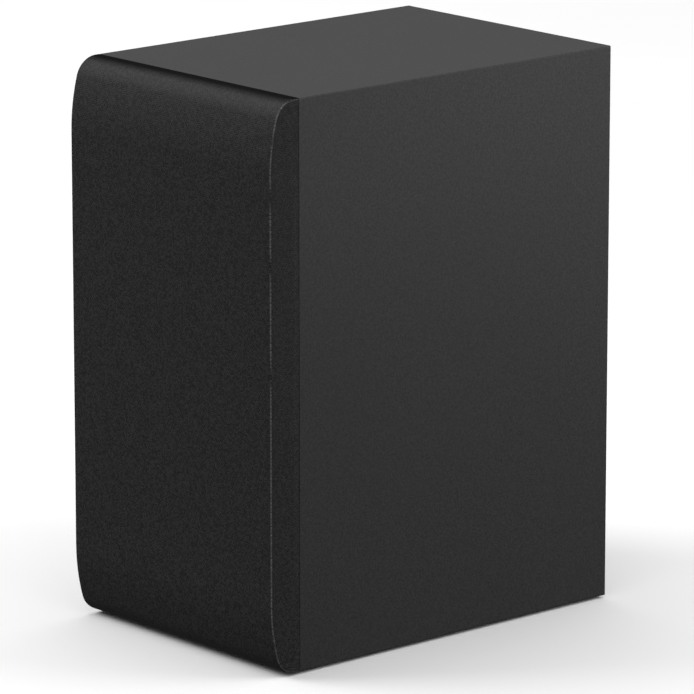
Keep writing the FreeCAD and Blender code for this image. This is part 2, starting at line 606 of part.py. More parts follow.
def amp_plate():
    flange = plate(-PLATE_X, PLATE_X, PLATE_Z0, PLATE_Z1, PLATE_BACK, PLATE_FACE, PLATE_CORNER)
    face_rim = [e for e in flange.Edges
                if e.BoundBox.YMin > PLATE_FACE - 0.01 and e.BoundBox.YMax < PLATE_FACE + 0.01]
    flange = flange.makeFillet(1.0, face_rim)
    wall = 2.0
    tub = plate(-POCKET_X - wall, POCKET_X + wall, POCKET_Z0 - wall, POCKET_Z1 + wall,
                POCKET_FLOOR - wall, PLATE_BACK + 1, 5.0)
    pocket = plate(-POCKET_X, POCKET_X, POCKET_Z0, POCKET_Z1, POCKET_FLOOR, PLATE_FACE + 1, 3.0)
    posts = [rod(x, z, BOARD_BACK, PLATE_BACK + 1, POST_RADIUS) for x, z in corners(POST_X, POST_Z0, POST_Z1)]
    ring = rod(BUTTON_X, CONTROL_Z, POCKET_FLOOR - 0.5, POCKET_FLOOR + 0.7, 5.2)
    body = flange.multiFuse([tub] + posts).cut(pocket).fuse(ring)
    cuts = [rod(BUTTON_X, CONTROL_Z, POCKET_FLOOR - 5, POCKET_FLOOR + 2, BUTTON_HOLE),
            rod(LAMP_X, CONTROL_Z, POCKET_FLOOR - 5, POCKET_FLOOR + 2, 1.5 + FIT),
            plate(INLET_X - 10.3, INLET_X + 10.3, CONTROL_Z - 5.8, CONTROL_Z + 5.8,
                  POCKET_FLOOR - 5, POCKET_FLOOR + 2, 3.0)]
    for x, z in plate_screw_places():
        cuts.append(rod(x, z, PLATE_BACK - 1, PLATE_FACE + 1, 1.7))
        cuts.append(rod(x, z, PLATE_FACE - 1.2, PLATE_FACE + 1, 3.1))
    for x, z in corners(POST_X, POST_Z0, POST_Z1):
        cuts.append(rod(x, z, BOARD_BACK - 1, BOARD_BACK + 9.0, 1.25 + FIT))
    label = plate(-46.0, 46.0, PLATE_Z0 + 11.0, PLATE_Z0 + 38.0, PLATE_FACE - 0.4, PLATE_FACE + 1, 2.0)
    save("amp_plate", body.cut(Part.makeCompound(cuts)).cut(label).removeSplitter())
    seal = plate(-PLATE_X + 0.6, PLATE_X - 0.6, PLATE_Z0 + 0.6, PLATE_Z1 - 0.6, BACK_FACE, PLATE_BACK, 5.4)
    seal = seal.cut(plate(-CUTOUT_X, CUTOUT_X, CUTOUT_Z0, CUTOUT_Z1, BACK_FACE - 1, PLATE_BACK + 1, 3.0))
    for x, z in plate_screw_places():
        seal = seal.cut(rod(x, z, BACK_FACE - 1, PLATE_BACK + 1, 1.7))
    save("amp_plate_seal", seal)
    screws = [pan_screw(x, z, PLATE_FACE - 1.2, 1, 1.5, 10.0, 2.9, 1.7) for x, z in plate_screw_places()]
    save("amp_plate_screws", *screws)


def power_inlet():
    lip = plate(INLET_X - 12.5, INLET_X + 12.5, CONTROL_Z - 8.0, CONTROL_Z + 8.0,
                POCKET_FLOOR, POCKET_FLOOR + 1.5, 4.0)
    body = plate(INLET_X - 10.2, INLET_X + 10.2, CONTROL_Z - 5.7, CONTROL_Z + 5.7,
                 BOARD_BACK + 0.4, POCKET_FLOOR + 1, 3.0)
    depth = 13.0
    mouth = POCKET_FLOOR + 1.5
    lobe = 4.1
    cavity = plate(INLET_X - PIN_SPACING / 2 - lobe, INLET_X + PIN_SPACING / 2 + lobe,
                   CONTROL_Z - lobe, CONTROL_Z + lobe, mouth - depth, mouth + 1, lobe - 0.01)
    notches = [block(INLET_X - 1.6, INLET_X + 1.6, mouth - depth, mouth + 1,
                     CONTROL_Z + sz * lobe - 0.7, CONTROL_Z + sz * lobe + 0.7) for sz in (-1, 1)]
    inlet = lip.fuse(body).cut(cavity)
    for sz, notch in zip((-1, 1), notches):
        inlet = inlet.fuse(notch.common(block(-99, 99, mouth - depth, mouth, CONTROL_Z - 5, CONTROL_Z + 5)))
    pins = []
    for sx in (-1, 1):
        x = INLET_X + sx * PIN_SPACING / 2
        inlet = inlet.cut(rod(x, CONTROL_Z, BOARD_BACK - 1, mouth - depth + 1, PIN_RADIUS + FIT))
        pin = rod(x, CONTROL_Z, BOARD_BACK, mouth - 2.0, PIN_RADIUS)
        tip = [e for e in pin.Edges if e.BoundBox.YMin > mouth - 2.01]
        pins.append(pin.makeChamfer(0.4, tip))
    save("power_inlet", inlet.removeSplitter())
    save("inlet_pins", *pins)


def controls():
    rest = POCKET_FLOOR + 1.2
    inner = POCKET_FLOOR - 2.0
    plunger_tip = BOARD_BACK + 4.5
    cap = rod(BUTTON_X, CONTROL_Z, inner - 2.6, rest, BUTTON_RADIUS)
    crown = [e for e in cap.Edges if e.BoundBox.YMin > rest - 0.01]
    cap = cap.makeFillet(0.5, crown)
    collar = rod(BUTTON_X, CONTROL_Z, inner - 1.5, inner - 0.1, 4.3)
    stem = rod(BUTTON_X, CONTROL_Z, plunger_tip, inner - 2.0, 1.6)
    save("pairing_button", cap.multiFuse([collar, stem]).removeSplitter())
    switch = block(BUTTON_X - 3.0, BUTTON_X + 3.0, BOARD_BACK, BOARD_BACK + 3.5,
                   CONTROL_Z - 3.0, CONTROL_Z + 3.0)
    switch = switch.cut(rod(BUTTON_X, CONTROL_Z, BOARD_BACK + 0.3, BOARD_BACK + 4, 1.9))
    save("tact_switch", switch)
    save("tact_plunger", rod(BUTTON_X, CONTROL_Z, BOARD_BACK + 1.2, plunger_tip, 1.6))
    pipe = rod(LAMP_X, CONTROL_Z, BOARD_BACK + 1.8, POCKET_FLOOR + 0.3, 1.5)
    stop = rod(LAMP_X, CONTROL_Z, inner - 1.2, inner, 2.6)
    save("light_pipe", pipe.fuse(stop).removeSplitter())
    save("status_led", block(LAMP_X - 1.6, LAMP_X + 1.6, BOARD_BACK, BOARD_BACK + 1.4,
                             CONTROL_Z - 1.0, CONTROL_Z + 1.0))


def main_board():
    board = block(-BOARD_X, BOARD_X, BOARD_FRONT, BOARD_BACK, BOARD_Z0, BOARD_Z1)
    for x, z in corners(POST_X, POST_Z0, POST_Z1):
        board = board.cut(rod(x, z, BOARD_FRONT - 1, BOARD_BACK + 1, 1.6))
    save("main_board", board)
    screws = [pan_screw(x, z, BOARD_FRONT, -1, 1.25, 8.0, 2.6, 1.8)
              for x, z in corners(POST_X, POST_Z0, POST_Z1)]
    save("board_screws", *screws)


def on_board(x0, x1, z0, z1, tall, start=0.0):
    """A block standing on the board's component side."""
    return block(x0, x1, BOARD_FRONT - start - tall, BOARD_FRONT - start, z0, z1)


def board_parts():
    core = on_board(-42, -14, 43, 53, 21, 1)
    windows = [on_board(x0, x0 + 6, 42, 54, 13, 5) for x0 in (-37, -25)]
    save("transformer_core", core.cut(Part.makeCompound(windows)))
    coil = plate(-36.8, -19.2, 37.5, 58.5, BOARD_FRONT - 17.6, BOARD_FRONT - 5.4, 3.0)
    leg = on_board(-31.1, -24.9, 42.9, 53.1, 30)
    save("transformer_winding", coil.cut(leg))

    def can(x, z, radius, tall):
        body = rod(x, z, BOARD_FRONT - tall, BOARD_FRONT, radius)
        ends = [e for e in body.Edges if len(e.Vertexes) == 1]
        return body.makeFillet(0.8, ends)

    save("bulk_capacitors", can(2, 46, 8.0, 25.0), can(21, 46, 8.0, 25.0))
    save("filter_capacitors", can(39, 46, 4.0, 12.5), can(39, 57, 4.0, 12.5), can(-6, 62, 4.0, 12.5))
    inductors = []
    for x in (13.0, 28.0):
        body = on_board(x - 6.2, x + 6.2, 63.8, 76.2, 8.5)
        upright = [e for e in body.Edges if abs(e.BoundBox.YMax - e.BoundBox.YMin) > 8]
        inductors.append(body.makeFillet(2.0, upright))
    save("output_inductors", *inductors)
    save("amplifier_chip", on_board(2, 16, 84, 98, 1.1))
    sink = on_board(-16, 34, 80, 102, 3.0, 1.1)
    fins = [on_board(x, x + 1.4, 80, 102, 18.0, 4.0) for x in [-16 + 5.4 * i for i in range(10)]]
    save("heat_sink", sink.multiFuse(fins).removeSplitter())
    glass = Part.makeCylinder(2.6, 20, V(-44, BOARD_FRONT - 4.2, 64), V(1, 0, 0))
    clips = [on_board(x, x + 4, 61, 67, 7.2) for x in (-45, -23)]
    holders = [c.cut(glass) for c in clips]
    save("board_fuse", glass)
    save("fuse_clips", *holders)
    choke = Part.makeTorus(7.0, 3.4, V(-34, BOARD_FRONT - 10.8, 88), V(0, 0, 1))
    save("emi_choke", choke)
    card = on_board(41, 42.2, 64, 92, 20.0, 2.5)
    save("wireless_module", card)
    save("module_header", on_board(38, 45.2, 66, 90, 2.5))


# ---------------------------------------------------------------- speaker lead

HEADER_X, HEADER_Z = 40.5, 101.0


def speaker_lead():
    """Two wires from the board to the woofer, clipped to the right-hand wall."""
    header_top = BOARD_FRONT - 6.0
    save("speaker_header", on_board(HEADER_X - 3.6, HEADER_X + 3.6, HEADER_Z - 4.0, HEADER_Z + 2.6, 6.0))
    plug_end = header_top - 7.0
    save("lead_plug", block(HEADER_X - 3.2, HEADER_X + 3.2, plug_end, header_top,
                            HEADER_Z - 3.6, HEADER_Z + 2.2))
    wall_x = IN_X - 5.0
    sleeve_end = LUG_END + 9.0
    lug_z = STRIP_BOTTOM - 0.4
    wires = []
    for side in (-1, 1):
        z = HEADER_Z - 0.7 + side * 1.3
        x_end = -side * TERMINAL_X
        wires.append(cord([
            (HEADER_X, plug_end, z), (HEADER_X, plug_end - 15.0, z),
            (HEADER_X + 14.0, plug_end - 34.0, z), (wall_x - 1.0, plug_end - 52.0, z),
            (wall_x, plug_end - 80.0, z), (wall_x - 1.5, plug_end - 108.0, z + 1.0),
            (wall_x - 16.0, -34.0, z + 3.0), (34.0, -36.0, lug_z - 4.0 + side * 1.3),
            (x_end + 10.0, sleeve_end + 22.0, lug_z - 1.0),
            (x_end, sleeve_end + 10.0, lug_z), (x_end, sleeve_end, lug_z)], 1.0))
    save("speaker_lead", *wires)
    sleeves = []
    for sx in (-1, 1):
        x = sx * TERMINAL_X
        sleeve = block(x - 3.4, x + 3.4, LUG_END - 9.0, sleeve_end, lug_z - 1.7, lug_z + 1.7)
        slot = block(x - 2.5, x + 2.5, LUG_END - 9.0, LUG_END + 0.2, lug_z - 0.5, lug_z + 0.5)
        sleeves.append(sleeve.cut(slot))
    save("lead_receptacles", *sleeves)
    clips = []
    for y in (plug_end - 66.0, plug_end - 92.0):
        z = HEADER_Z - 0.7
        base = block(IN_X - 2.0, IN_X, y - 4.0, y + 4.0, z - 7.0, z + 7.0)
        loop = block(wall_x - 3.2, IN_X - 2.0, y - 2.5, y + 2.5, z - 4.4, z + 4.4)
        room = block(wall_x - 1.8, IN_X - 3.0, y - 3.0, y + 3.0, z - 3.0, z + 3.0)
        clips.append(base.fuse(loop).cut(room).removeSplitter())
    save("lead_clips", *clips)


def main():
    os.makedirs("parts", exist_ok=True)
    cabinet_boards()
    vinyl_wrap()
    rubber_feet()
    front_baffle()
    rear_panel()
    wadding()
    grille_fabric()
    grille_frame()
    grille_sockets()
    woofer_basket()
    woofer_rings()
    woofer_moving_parts()
    spider()
    woofer_motor()
    woofer_terminals()
    duct()
    amp_plate()
    power_inlet()
    controls()
    main_board()
    board_parts()
    speaker_lead()


main()
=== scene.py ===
import bpy
import bmesh
import json
import math
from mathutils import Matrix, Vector, noise
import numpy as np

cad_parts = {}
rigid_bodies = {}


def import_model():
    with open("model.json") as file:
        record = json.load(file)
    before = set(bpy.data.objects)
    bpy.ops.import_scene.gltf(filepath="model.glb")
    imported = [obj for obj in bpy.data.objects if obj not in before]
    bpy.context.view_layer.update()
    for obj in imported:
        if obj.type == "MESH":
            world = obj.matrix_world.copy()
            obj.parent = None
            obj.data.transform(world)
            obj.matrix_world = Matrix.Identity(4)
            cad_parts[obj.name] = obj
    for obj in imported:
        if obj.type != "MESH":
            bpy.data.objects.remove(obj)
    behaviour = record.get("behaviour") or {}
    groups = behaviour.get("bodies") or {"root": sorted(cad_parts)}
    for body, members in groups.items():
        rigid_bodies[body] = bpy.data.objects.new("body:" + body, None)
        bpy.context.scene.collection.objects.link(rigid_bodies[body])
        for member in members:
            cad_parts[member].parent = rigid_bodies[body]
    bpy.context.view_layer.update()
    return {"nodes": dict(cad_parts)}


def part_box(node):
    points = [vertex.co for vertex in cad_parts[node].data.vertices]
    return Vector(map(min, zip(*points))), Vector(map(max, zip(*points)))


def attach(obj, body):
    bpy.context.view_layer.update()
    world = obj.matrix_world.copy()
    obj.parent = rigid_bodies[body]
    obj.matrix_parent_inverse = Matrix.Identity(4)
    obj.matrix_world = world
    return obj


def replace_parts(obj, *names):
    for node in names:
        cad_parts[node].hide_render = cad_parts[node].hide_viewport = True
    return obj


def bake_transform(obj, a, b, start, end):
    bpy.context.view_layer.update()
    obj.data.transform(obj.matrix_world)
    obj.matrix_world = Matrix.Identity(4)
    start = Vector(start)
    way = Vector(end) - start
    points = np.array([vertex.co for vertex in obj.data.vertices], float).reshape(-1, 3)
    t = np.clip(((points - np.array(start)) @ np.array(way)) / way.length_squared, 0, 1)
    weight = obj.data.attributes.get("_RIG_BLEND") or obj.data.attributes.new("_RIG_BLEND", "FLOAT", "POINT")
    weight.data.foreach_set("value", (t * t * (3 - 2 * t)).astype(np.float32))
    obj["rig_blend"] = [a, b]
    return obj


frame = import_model()
mm = 0.001
print("frame loaded:", len(frame["nodes"]), "nodes")


# node maths: a Wire is a socket that can be used in plain arithmetic

def mathNode(tree, operation, *values):
    node = tree.nodes.new("ShaderNodeMath")
    node.operation = operation
    for place, value in enumerate(values):
        if isinstance(value, Wire):
            tree.links.new(value.socket, node.inputs[place])
        else:
            node.inputs[place].default_value = value
    return Wire(tree, node.outputs[0])


class Wire:
    def __init__(self, tree, socket):
        self.tree, self.socket = tree, socket

    def do(self, operation, *others):
        return mathNode(self.tree, operation, self, *others)

    def __add__(self, other):
        return self.do("ADD", other)

    def __sub__(self, other):
        return self.do("SUBTRACT", other)

    def __mul__(self, other):
        return self.do("MULTIPLY", other)

    def __truediv__(self, other):
        return self.do("DIVIDE", other)

    def __rsub__(self, other):
        return mathNode(self.tree, "SUBTRACT", other, self)

    __radd__, __rmul__ = __add__, __mul__


def spaced(key):
    # headRadius becomes Head Radius, as a socket is labelled
    return "".join(" " + c if c.isupper() else c for c in key).strip().title()


def grey(value):
    if isinstance(value, (int, float)):
        return (value, value, value, 1)
    return tuple(value) + (1,) * (4 - len(value))


def shade(tone, share):
    return [c * share for c in grey(tone)[:3]]


class NodeMaker:
    # adds nodes to one tree: first a node's settings, then the values or links of its sockets
    prefix = "ShaderNode"

    def __init__(self, tree):
        self.tree = tree

    def node(self, kind, settings=None, sockets=None, out=0):
        made = self.tree.nodes.new(kind if "Node" in kind else self.prefix + kind)
        for key, value in (settings or {}).items():
            setattr(made, key, value)
        for key, value in (sockets or {}).items():
            if isinstance(value, Wire):
                self.tree.links.new(value.socket, made.inputs[key])
            else:
                made.inputs[key].default_value = value
        return Wire(self.tree, made.outputs[out])

    def split(self, place):
        first = self.node("ShaderNodeSeparateXYZ", sockets={0: place})
        return [Wire(self.tree, out) for out in first.socket.node.outputs]


class Finish(NodeMaker):
    # one material around one Principled shader
    def __init__(self, name, **sockets):
        self.material = bpy.data.materials.new(name)
        self.material.use_nodes = True
        self.tree = self.material.node_tree
        self.shader = self.tree.nodes["Principled BSDF"]
        for key, value in sockets.items():
            label = spaced(key).replace("Specular Level", "Specular IOR Level")
            self.shader.inputs[label].default_value = value

    def where(self, stretch=(1, 1, 1), turn=(0, 0, 0), uv=False):
        place = self.node("TexCoord", out=2 if uv else 3)
        if stretch == (1, 1, 1) and turn == (0, 0, 0):
            return place
        return self.node("Mapping", sockets={"Vector": place, "Scale": stretch, "Rotation": turn})

    def grain(self, place, scale, detail=2.0, rough=0.5):
        return self.node("TexNoise", sockets={"Vector": place, "Scale": scale, "Detail": detail,
                                              "Roughness": rough})

    def cells(self, place, scale, feature="F1"):
        return self.node("TexVoronoi", {"feature": feature}, {"Vector": place, "Scale": scale})

    def dice(self, column, row):
        # one random value for each cell of a grid
        spot = self.node("CombineXYZ", sockets={0: column, 1: row})
        return self.node("TexWhiteNoise", {"noise_dimensions": "2D"}, {"Vector": spot})

    def mark(self, name):
        return self.node("Attribute", {"attribute_name": name}, out=2)

    def fit(self, value, low, high, newLow, newHigh):
        return self.node("MapRange", {"clamp": True}, {0: value, 1: low, 2: high, 3: newLow, 4: newHigh})

    def around(self, value, middle, reach, low=0.3, high=0.7):
        return self.fit(value, low, high, middle - reach, middle + reach)

    def tint(self, mask, first, second):
        sides = {side: c if isinstance(c, Wire) else grey(c) for side, c in ((6, first), (7, second))}
        return self.node("Mix", {"data_type": "RGBA"}, {0: mask, **sides}, 2)

    def vary(self, value, tone, low, high):
        # the tone times low to the tone times high over the value's middle range
        return self.tint(self.fit(value, 0.3, 0.7, 0, 1), shade(tone, low), shade(tone, high))

    def bump(self, height, strength, reach):
        return self.node("Bump", sockets={"Height": height, "Strength": strength, "Distance": reach})

    def feed(self, **links):
        names = {"colour": "Base Color", "roughness": "Roughness", "metal": "Metallic", "normal": "Normal"}
        for key, wire in links.items():
            self.tree.links.new(wire.socket, self.shader.inputs[names[key]])
        return self.material


# finishes

def foilFinish(name, look):
    # embossed foil: small pebbles, faint clouding, and a slight shine
    m = Finish(name, specularLevel=look["shine"])
    place = m.where()
    pebble = m.cells(place, 1 / look["pebble"], "SMOOTH_F1")
    fine = m.grain(place, 1 / look["fine"], 3)
    cloud = m.grain(place, 9, 2)
    speck = m.grain(place, 1 / look["speck"], 1)
    tone = m.fit(cloud * look["clouding"] + speck * (1 - look["clouding"]), 0.25, 0.75, 0, 1)
    low, high = shade(look["tone"], 1 - look["spread"]), shade(look["tone"], 1 + look["spread"])
    return m.feed(colour=m.tint(tone, low, high),
                  roughness=m.around(fine, look["roughness"], 0.05, 0.25, 0.75),
                  normal=m.bump(pebble * 0.7 + fine * 0.5, look["depth"], 0.12 * mm))


def clothFinish(name, look):
    # plain weave of mixed dark yarns, laid on the piece's own UV map in metres
    m = Finish(name, specularLevel=look["shine"], sheenWeight=look["fuzz"], sheenRoughness=0.45)
    uv = m.where(uv=True)
    wander = look["wander"] * m.grain(uv, 260, 2)     # the yarns never run quite straight
    x, y, _ = m.split(uv)
    u, v = x / look["yarn"] + wander, y / look["yarn"] - wander
    column, row = u.do("FLOOR"), v.do("FLOOR")
    across, along = u - column, v - row
    flip = (column + row).do("MODULO", 2.0).do("ABSOLUTE")
    warp = (across * math.pi).do("SINE") * (0.35 + 0.65 * flip)
    weft = (along * math.pi).do("SINE") * (1.0 - 0.65 * flip)
    height = warp.do("MAXIMUM", weft)
    perCross = m.dice(column, row)
    slub = m.grain(m.node("CombineXYZ", sockets={0: u * 0.9, 1: v * 0.16}), 1.0, 2)
    slubTwo = m.grain(m.node("CombineXYZ", sockets={0: u * 0.16, 1: v * 0.9, 2: 7.0}), 1.0, 2)
    tone = m.fit(perCross * 0.50 + flip * 0.22 + slub * 0.14 + slubTwo * 0.14, 0.18, 0.82, 0, 1)
    yarn = m.tint(tone, shade(look["tone"], 1 - look["spread"]), shade(look["tone"], 1 + look["spread"]))
    # painted shade: darker colour in the valleys between threads
    valleyShade = m.fit(height, 0.15, 0.75, 0.45, 0)
    shaded = m.tint(valleyShade, yarn, look["tone"] * look["valleyTone"])
    broken = 0.55 + 0.45 * m.fit(perCross + flip * 0.6, 0.3, 1.3, 0, 1)     # the painted highlight line is not solid
    # painted highlight: a pale line along the upright edges, where the bend catches the light
    shaded = m.tint(m.mark("crease") * broken, shaded, look["creaseTone"])
    relief = m.bump(height + tone * 0.3, look["depth"], 0.2 * mm)
    m.feed(colour=shaded, roughness=m.around(tone, look["roughness"], 0.05, 0, 1), normal=relief)
    # painted shade: a flat dark band mixed in next to the seam, where the cloth turns away from the light;
    # the same mark darkens the flanks and the hem
    shadeBsdf = m.node("BsdfDiffuse", sockets={"Color": grey(look["tone"] * look["tuckTone"]), "Roughness": 1.0,
                                          "Normal": relief})
    both = m.node("MixShader", sockets={0: m.mark("tuck") * look["tuck"],
                                        1: Wire(m.tree, m.shader.outputs[0]), 2: shadeBsdf})
    m.tree.links.new(both.socket, m.tree.nodes["Material Output"].inputs[0])
    return m.material


def mouldedFinish(name, tone, roughness=0.5, shine=0.4, texture=0.0005, depth=0.25):
    # moulded plastic with an eroded tool texture
    m = Finish(name, specularLevel=shine)
    place = m.where()
    spark = m.grain(place, 1 / texture, 3, 0.6)
    cloud = m.grain(place, 30, 2)
    return m.feed(colour=m.vary(cloud, tone, 0.88, 1.12), roughness=m.around(spark, roughness, 0.07),
                  normal=m.bump(spark, depth, 0.08 * mm))


def rubberFinish(name, tone, roughness=0.62, dust=0.35):
    m = Finish(name, specularLevel=0.35)
    place = m.where()
    fine = m.grain(place, 1600, 3)
    bloom = m.fit(m.grain(place, 60, 4), 0.45, 0.75, 0, dust)
    return m.feed(colour=m.tint(bloom, tone, tone * 2.2), roughness=m.around(fine, roughness, 0.08),
                  normal=m.bump(fine, 0.2, 0.06 * mm))


def fibreBoardFinish(name, tone):
    # pressed wood fibre: warm brown, with short light and dark fibres
    m = Finish(name, roughness=0.85, specularLevel=0.2)
    fibre = m.grain(m.where((1, 0.45, 1)), 1300, 4, 0.7)
    chip = m.grain(m.where((0.6, 1, 0.8), (0.3, 0.1, 0.8)), 620, 3, 0.6)
    return m.feed(colour=m.vary(fibre * 0.5 + chip * 0.5, tone, 0.78, 1.16),
                  normal=m.bump(fibre, 0.4, 0.2 * mm))


def metalFinish(name, tone, roughness=0.35, brush=(1, 1, 1), metal=1.0, stain=None, fine=700.0):
    m = Finish(name, metallic=metal)
    scratch = m.grain(m.where(brush), fine, 3, 0.6)
    patch = m.fit(m.grain(m.where(), 55, 3), 0.4, 0.7, 0, 1)
    return m.feed(colour=m.tint(patch, tone, stain or shade(tone, 0.8)),
                  roughness=m.around(scratch, roughness, 0.06),
                  normal=m.bump(scratch, 0.12, 0.02 * mm))


def pulpFinish(name, tone):
    # felted paper pulp of a speaker cone
    m = Finish(name, specularLevel=0.25)
    felt = m.grain(m.where(), 420, 5, 0.65)
    hair = m.cells(m.where((1, 1, 0.4), (0, 0.5, 0)), 700)
    return m.feed(colour=m.tint(m.fit(felt, 0.35, 0.65, 0, 1), tone * 0.7, tone * 1.5),
                  roughness=m.around(felt, 0.72, 0.10),
                  normal=m.bump(felt * 0.8 + hair * 0.3, 0.55, 0.15 * mm))


def wovenFinish(name, tone, yarn, roughness=0.7):
    # open woven cloth read off the UV map, as on the spider and the leads
    m = Finish(name, roughness=roughness, specularLevel=0.35)
    x, y, _ = m.split(m.where(uv=True))
    warp = (x / yarn * math.pi).do("SINE").do("ABSOLUTE")
    weft = (y / yarn * math.pi).do("SINE").do("ABSOLUTE")
    height = warp.do("MAXIMUM", weft)
    light = m.vary(m.grain(m.where(), 90, 3), tone, 0.8, 1.15)
    # painted shade: darker colour in the valleys between threads
    return m.feed(colour=m.tint(m.fit(height, 0.6, 1, 0.6, 0), light, shade(tone, 0.3)),
                  normal=m.bump(height, 0.6, 0.15 * mm))


def circuitFinish(name):
    # green lacquer over copper tracks, with round tinned pads on a grid
    m = Finish(name, specularLevel=0.5)
    pitch, trackWidth, padRadius = 2.54 * mm, 0.22, 0.3
    x, _, z = m.split(m.where())
    x, z = x / pitch, z / pitch
    column, row = x.do("FLOOR"), z.do("FLOOR")
    offX, offZ = (x - column) - 0.5, (z - row) - 0.5
    upward = (offX.do("ABSOLUTE").do("LESS_THAN", trackWidth)
              * m.dice(column, (z * 0.12).do("FLOOR")).do("GREATER_THAN", 0.55))
    sideways = (offZ.do("ABSOLUTE").do("LESS_THAN", trackWidth)
                * m.dice((x * 0.12).do("FLOOR"), row).do("GREATER_THAN", 0.62))
    track = upward.do("MAXIMUM", sideways)
    ring = (offX * offX + offZ * offZ).do("SQRT")
    pad = ring.do("LESS_THAN", padRadius) * m.dice(column, row).do("GREATER_THAN", 0.72)
    green = m.tint(track, (0.010, 0.060, 0.026), (0.018, 0.120, 0.048))
    return m.feed(colour=m.tint(pad, green, (0.62, 0.62, 0.58)), metal=pad * 0.9,
                  roughness=m.fit(pad, 0, 1, 0.32, 0.4),
                  normal=m.bump(track * 0.5 + pad, 0.4, 0.05 * mm))


def fluffFinish(name):
    m = Finish(name, specularLevel=0.1, roughness=0.95, sheenWeight=0.4, sheenRoughness=0.6)
    tuft = m.grain(m.where((1, 1, 0.5)), 220, 6, 0.75)
    wisp = m.cells(m.where(), 130, "SMOOTH_F1")
    return m.feed(colour=m.tint(m.fit(tuft, 0.3, 0.7, 0, 1), (0.62, 0.62, 0.60), (0.85, 0.85, 0.83)),
                  normal=m.bump(tuft + wisp * 0.6, 0.8, 1.2 * mm))


clothLook = {
    "yarn": 1.0 * mm,      # one thread
    "wander": 1.6,         # in threads
    "tone": 0.026,
    "spread": 0.62,        # how far single threads are from the tone
    "valleyTone": 0.25,    # painted shade between the threads, as a share of the tone
    "tuckTone": 0.42,      # painted shade next to the seam, as a share of the tone
    "creaseTone": 0.20,    # pale line over the upright edges: painted highlight, with the cloth pulled thin there
    "roughness": 0.62,
    "shine": 0.2,
    "fuzz": 0.02,
    "depth": 0.55,
    # how strongly the painted shade is mixed in
    "tuck": 1.0,
}
foilLook = {
    "pebble": 0.75 * mm,
    "fine": 0.30 * mm,
    "speck": 1.1 * mm,
    "clouding": 0.10,      # clouds against specks
    "tone": 0.033,
    "spread": 0.36,
    "roughness": 0.50,
    "shine": 0.26,
    "depth": 0.35,
}
blackFoilLook = dict(foilLook, tone=0.014, roughness=0.55)

cloth = clothFinish("grille cloth", clothLook)
foil = foilFinish("charcoal foil", foilLook)
blackFoil = foilFinish("black foil", blackFoilLook)
fibreBoard = fibreBoardFinish("fibre board", (0.36, 0.25, 0.15))
frameAbs = mouldedFinish("grille frame plastic", 0.016, 0.55)
moulding = mouldedFinish("moulded plastic", 0.018, 0.42, 0.5, 0.0006, 0.3)
glossyAbs = mouldedFinish("inlet plastic", 0.012, 0.3, 0.5, 0.0009, 0.1)
footRubber = rubberFinish("foot rubber", 0.020)
surroundRubber = rubberFinish("surround rubber", 0.014, 0.48, 0.2)
foam = rubberFinish("seal foam", 0.03, 0.9, 0.2)
wadding = fluffFinish("polyester wadding")
basketPaint = metalFinish("basket powder coat", (0.014, 0.014, 0.014), 0.45, metal=0.0, fine=1500.0)
screwBlack = metalFinish("blackened steel", (0.035, 0.035, 0.037), 0.38, fine=1200.0)
zinc = metalFinish("zinc plated steel", (0.62, 0.61, 0.56), 0.34, stain=(0.55, 0.52, 0.42))
ferrite = metalFinish("ferrite", (0.045, 0.045, 0.048), 0.6, metal=0.2, fine=900.0)
pulp = pulpFinish("cone pulp", 0.020)
capPulp = pulpFinish("dust cap", 0.012)
formerFoil = metalFinish("former foil", (0.80, 0.80, 0.80), 0.3, brush=(1, 0.05, 1))
copper = metalFinish("enamelled copper", (0.72, 0.30, 0.14), 0.3, brush=(1, 40, 1), fine=60.0)
tinned = metalFinish("tinned brass", (0.70, 0.69, 0.66), 0.32)
spiderCloth = wovenFinish("resined cloth", (0.55, 0.30, 0.06), 0.55 * mm)
litz = wovenFinish("braided copper", (0.62, 0.36, 0.20), 0.25 * mm, 0.45)
tagBoard = mouldedFinish("tag board", (0.25, 0.14, 0.05), 0.6)
circuit = circuitFinish("circuit board")
laminate = metalFinish("core ferrite", (0.07, 0.07, 0.075), 0.55, metal=0.3)
coilTape = mouldedFinish("winding tape", (0.70, 0.46, 0.03), 0.25, 0.5, 0.004, 0.15)
canSleeve = mouldedFinish("capacitor sleeve", (0.012, 0.012, 0.016), 0.22, 0.5, 0.003, 0.05)
epoxy = mouldedFinish("black epoxy", 0.014, 0.45, 0.4, 0.0002, 0.3)
anodised = metalFinish("black anodised", (0.030, 0.030, 0.031), 0.4, brush=(0.05, 1, 1))
fuseGlass = Finish("fuse glass", specularLevel=0.5, transmissionWeight=0.9, roughness=0.03).material
chokeCore = mouldedFinish("choke core", (0.02, 0.16, 0.07), 0.35)
nylon = mouldedFinish("header nylon", (0.72, 0.69, 0.58), 0.4)
clearPlastic = mouldedFinish("light pipe plastic", (0.60, 0.62, 0.64), 0.12, 0.5, 0.003, 0.03)
lampWhite = mouldedFinish("lamp body", (0.70, 0.70, 0.55), 0.25)
leadPvc = mouldedFinish("lead insulation", (0.03, 0.03, 0.032), 0.38, 0.5)
sleevePvc = mouldedFinish("receptacle sleeve", (0.65, 0.63, 0.58), 0.35)
clipNylon = mouldedFinish("clip nylon", (0.70, 0.70, 0.68), 0.45)
print("finishes made:", len(bpy.data.materials))

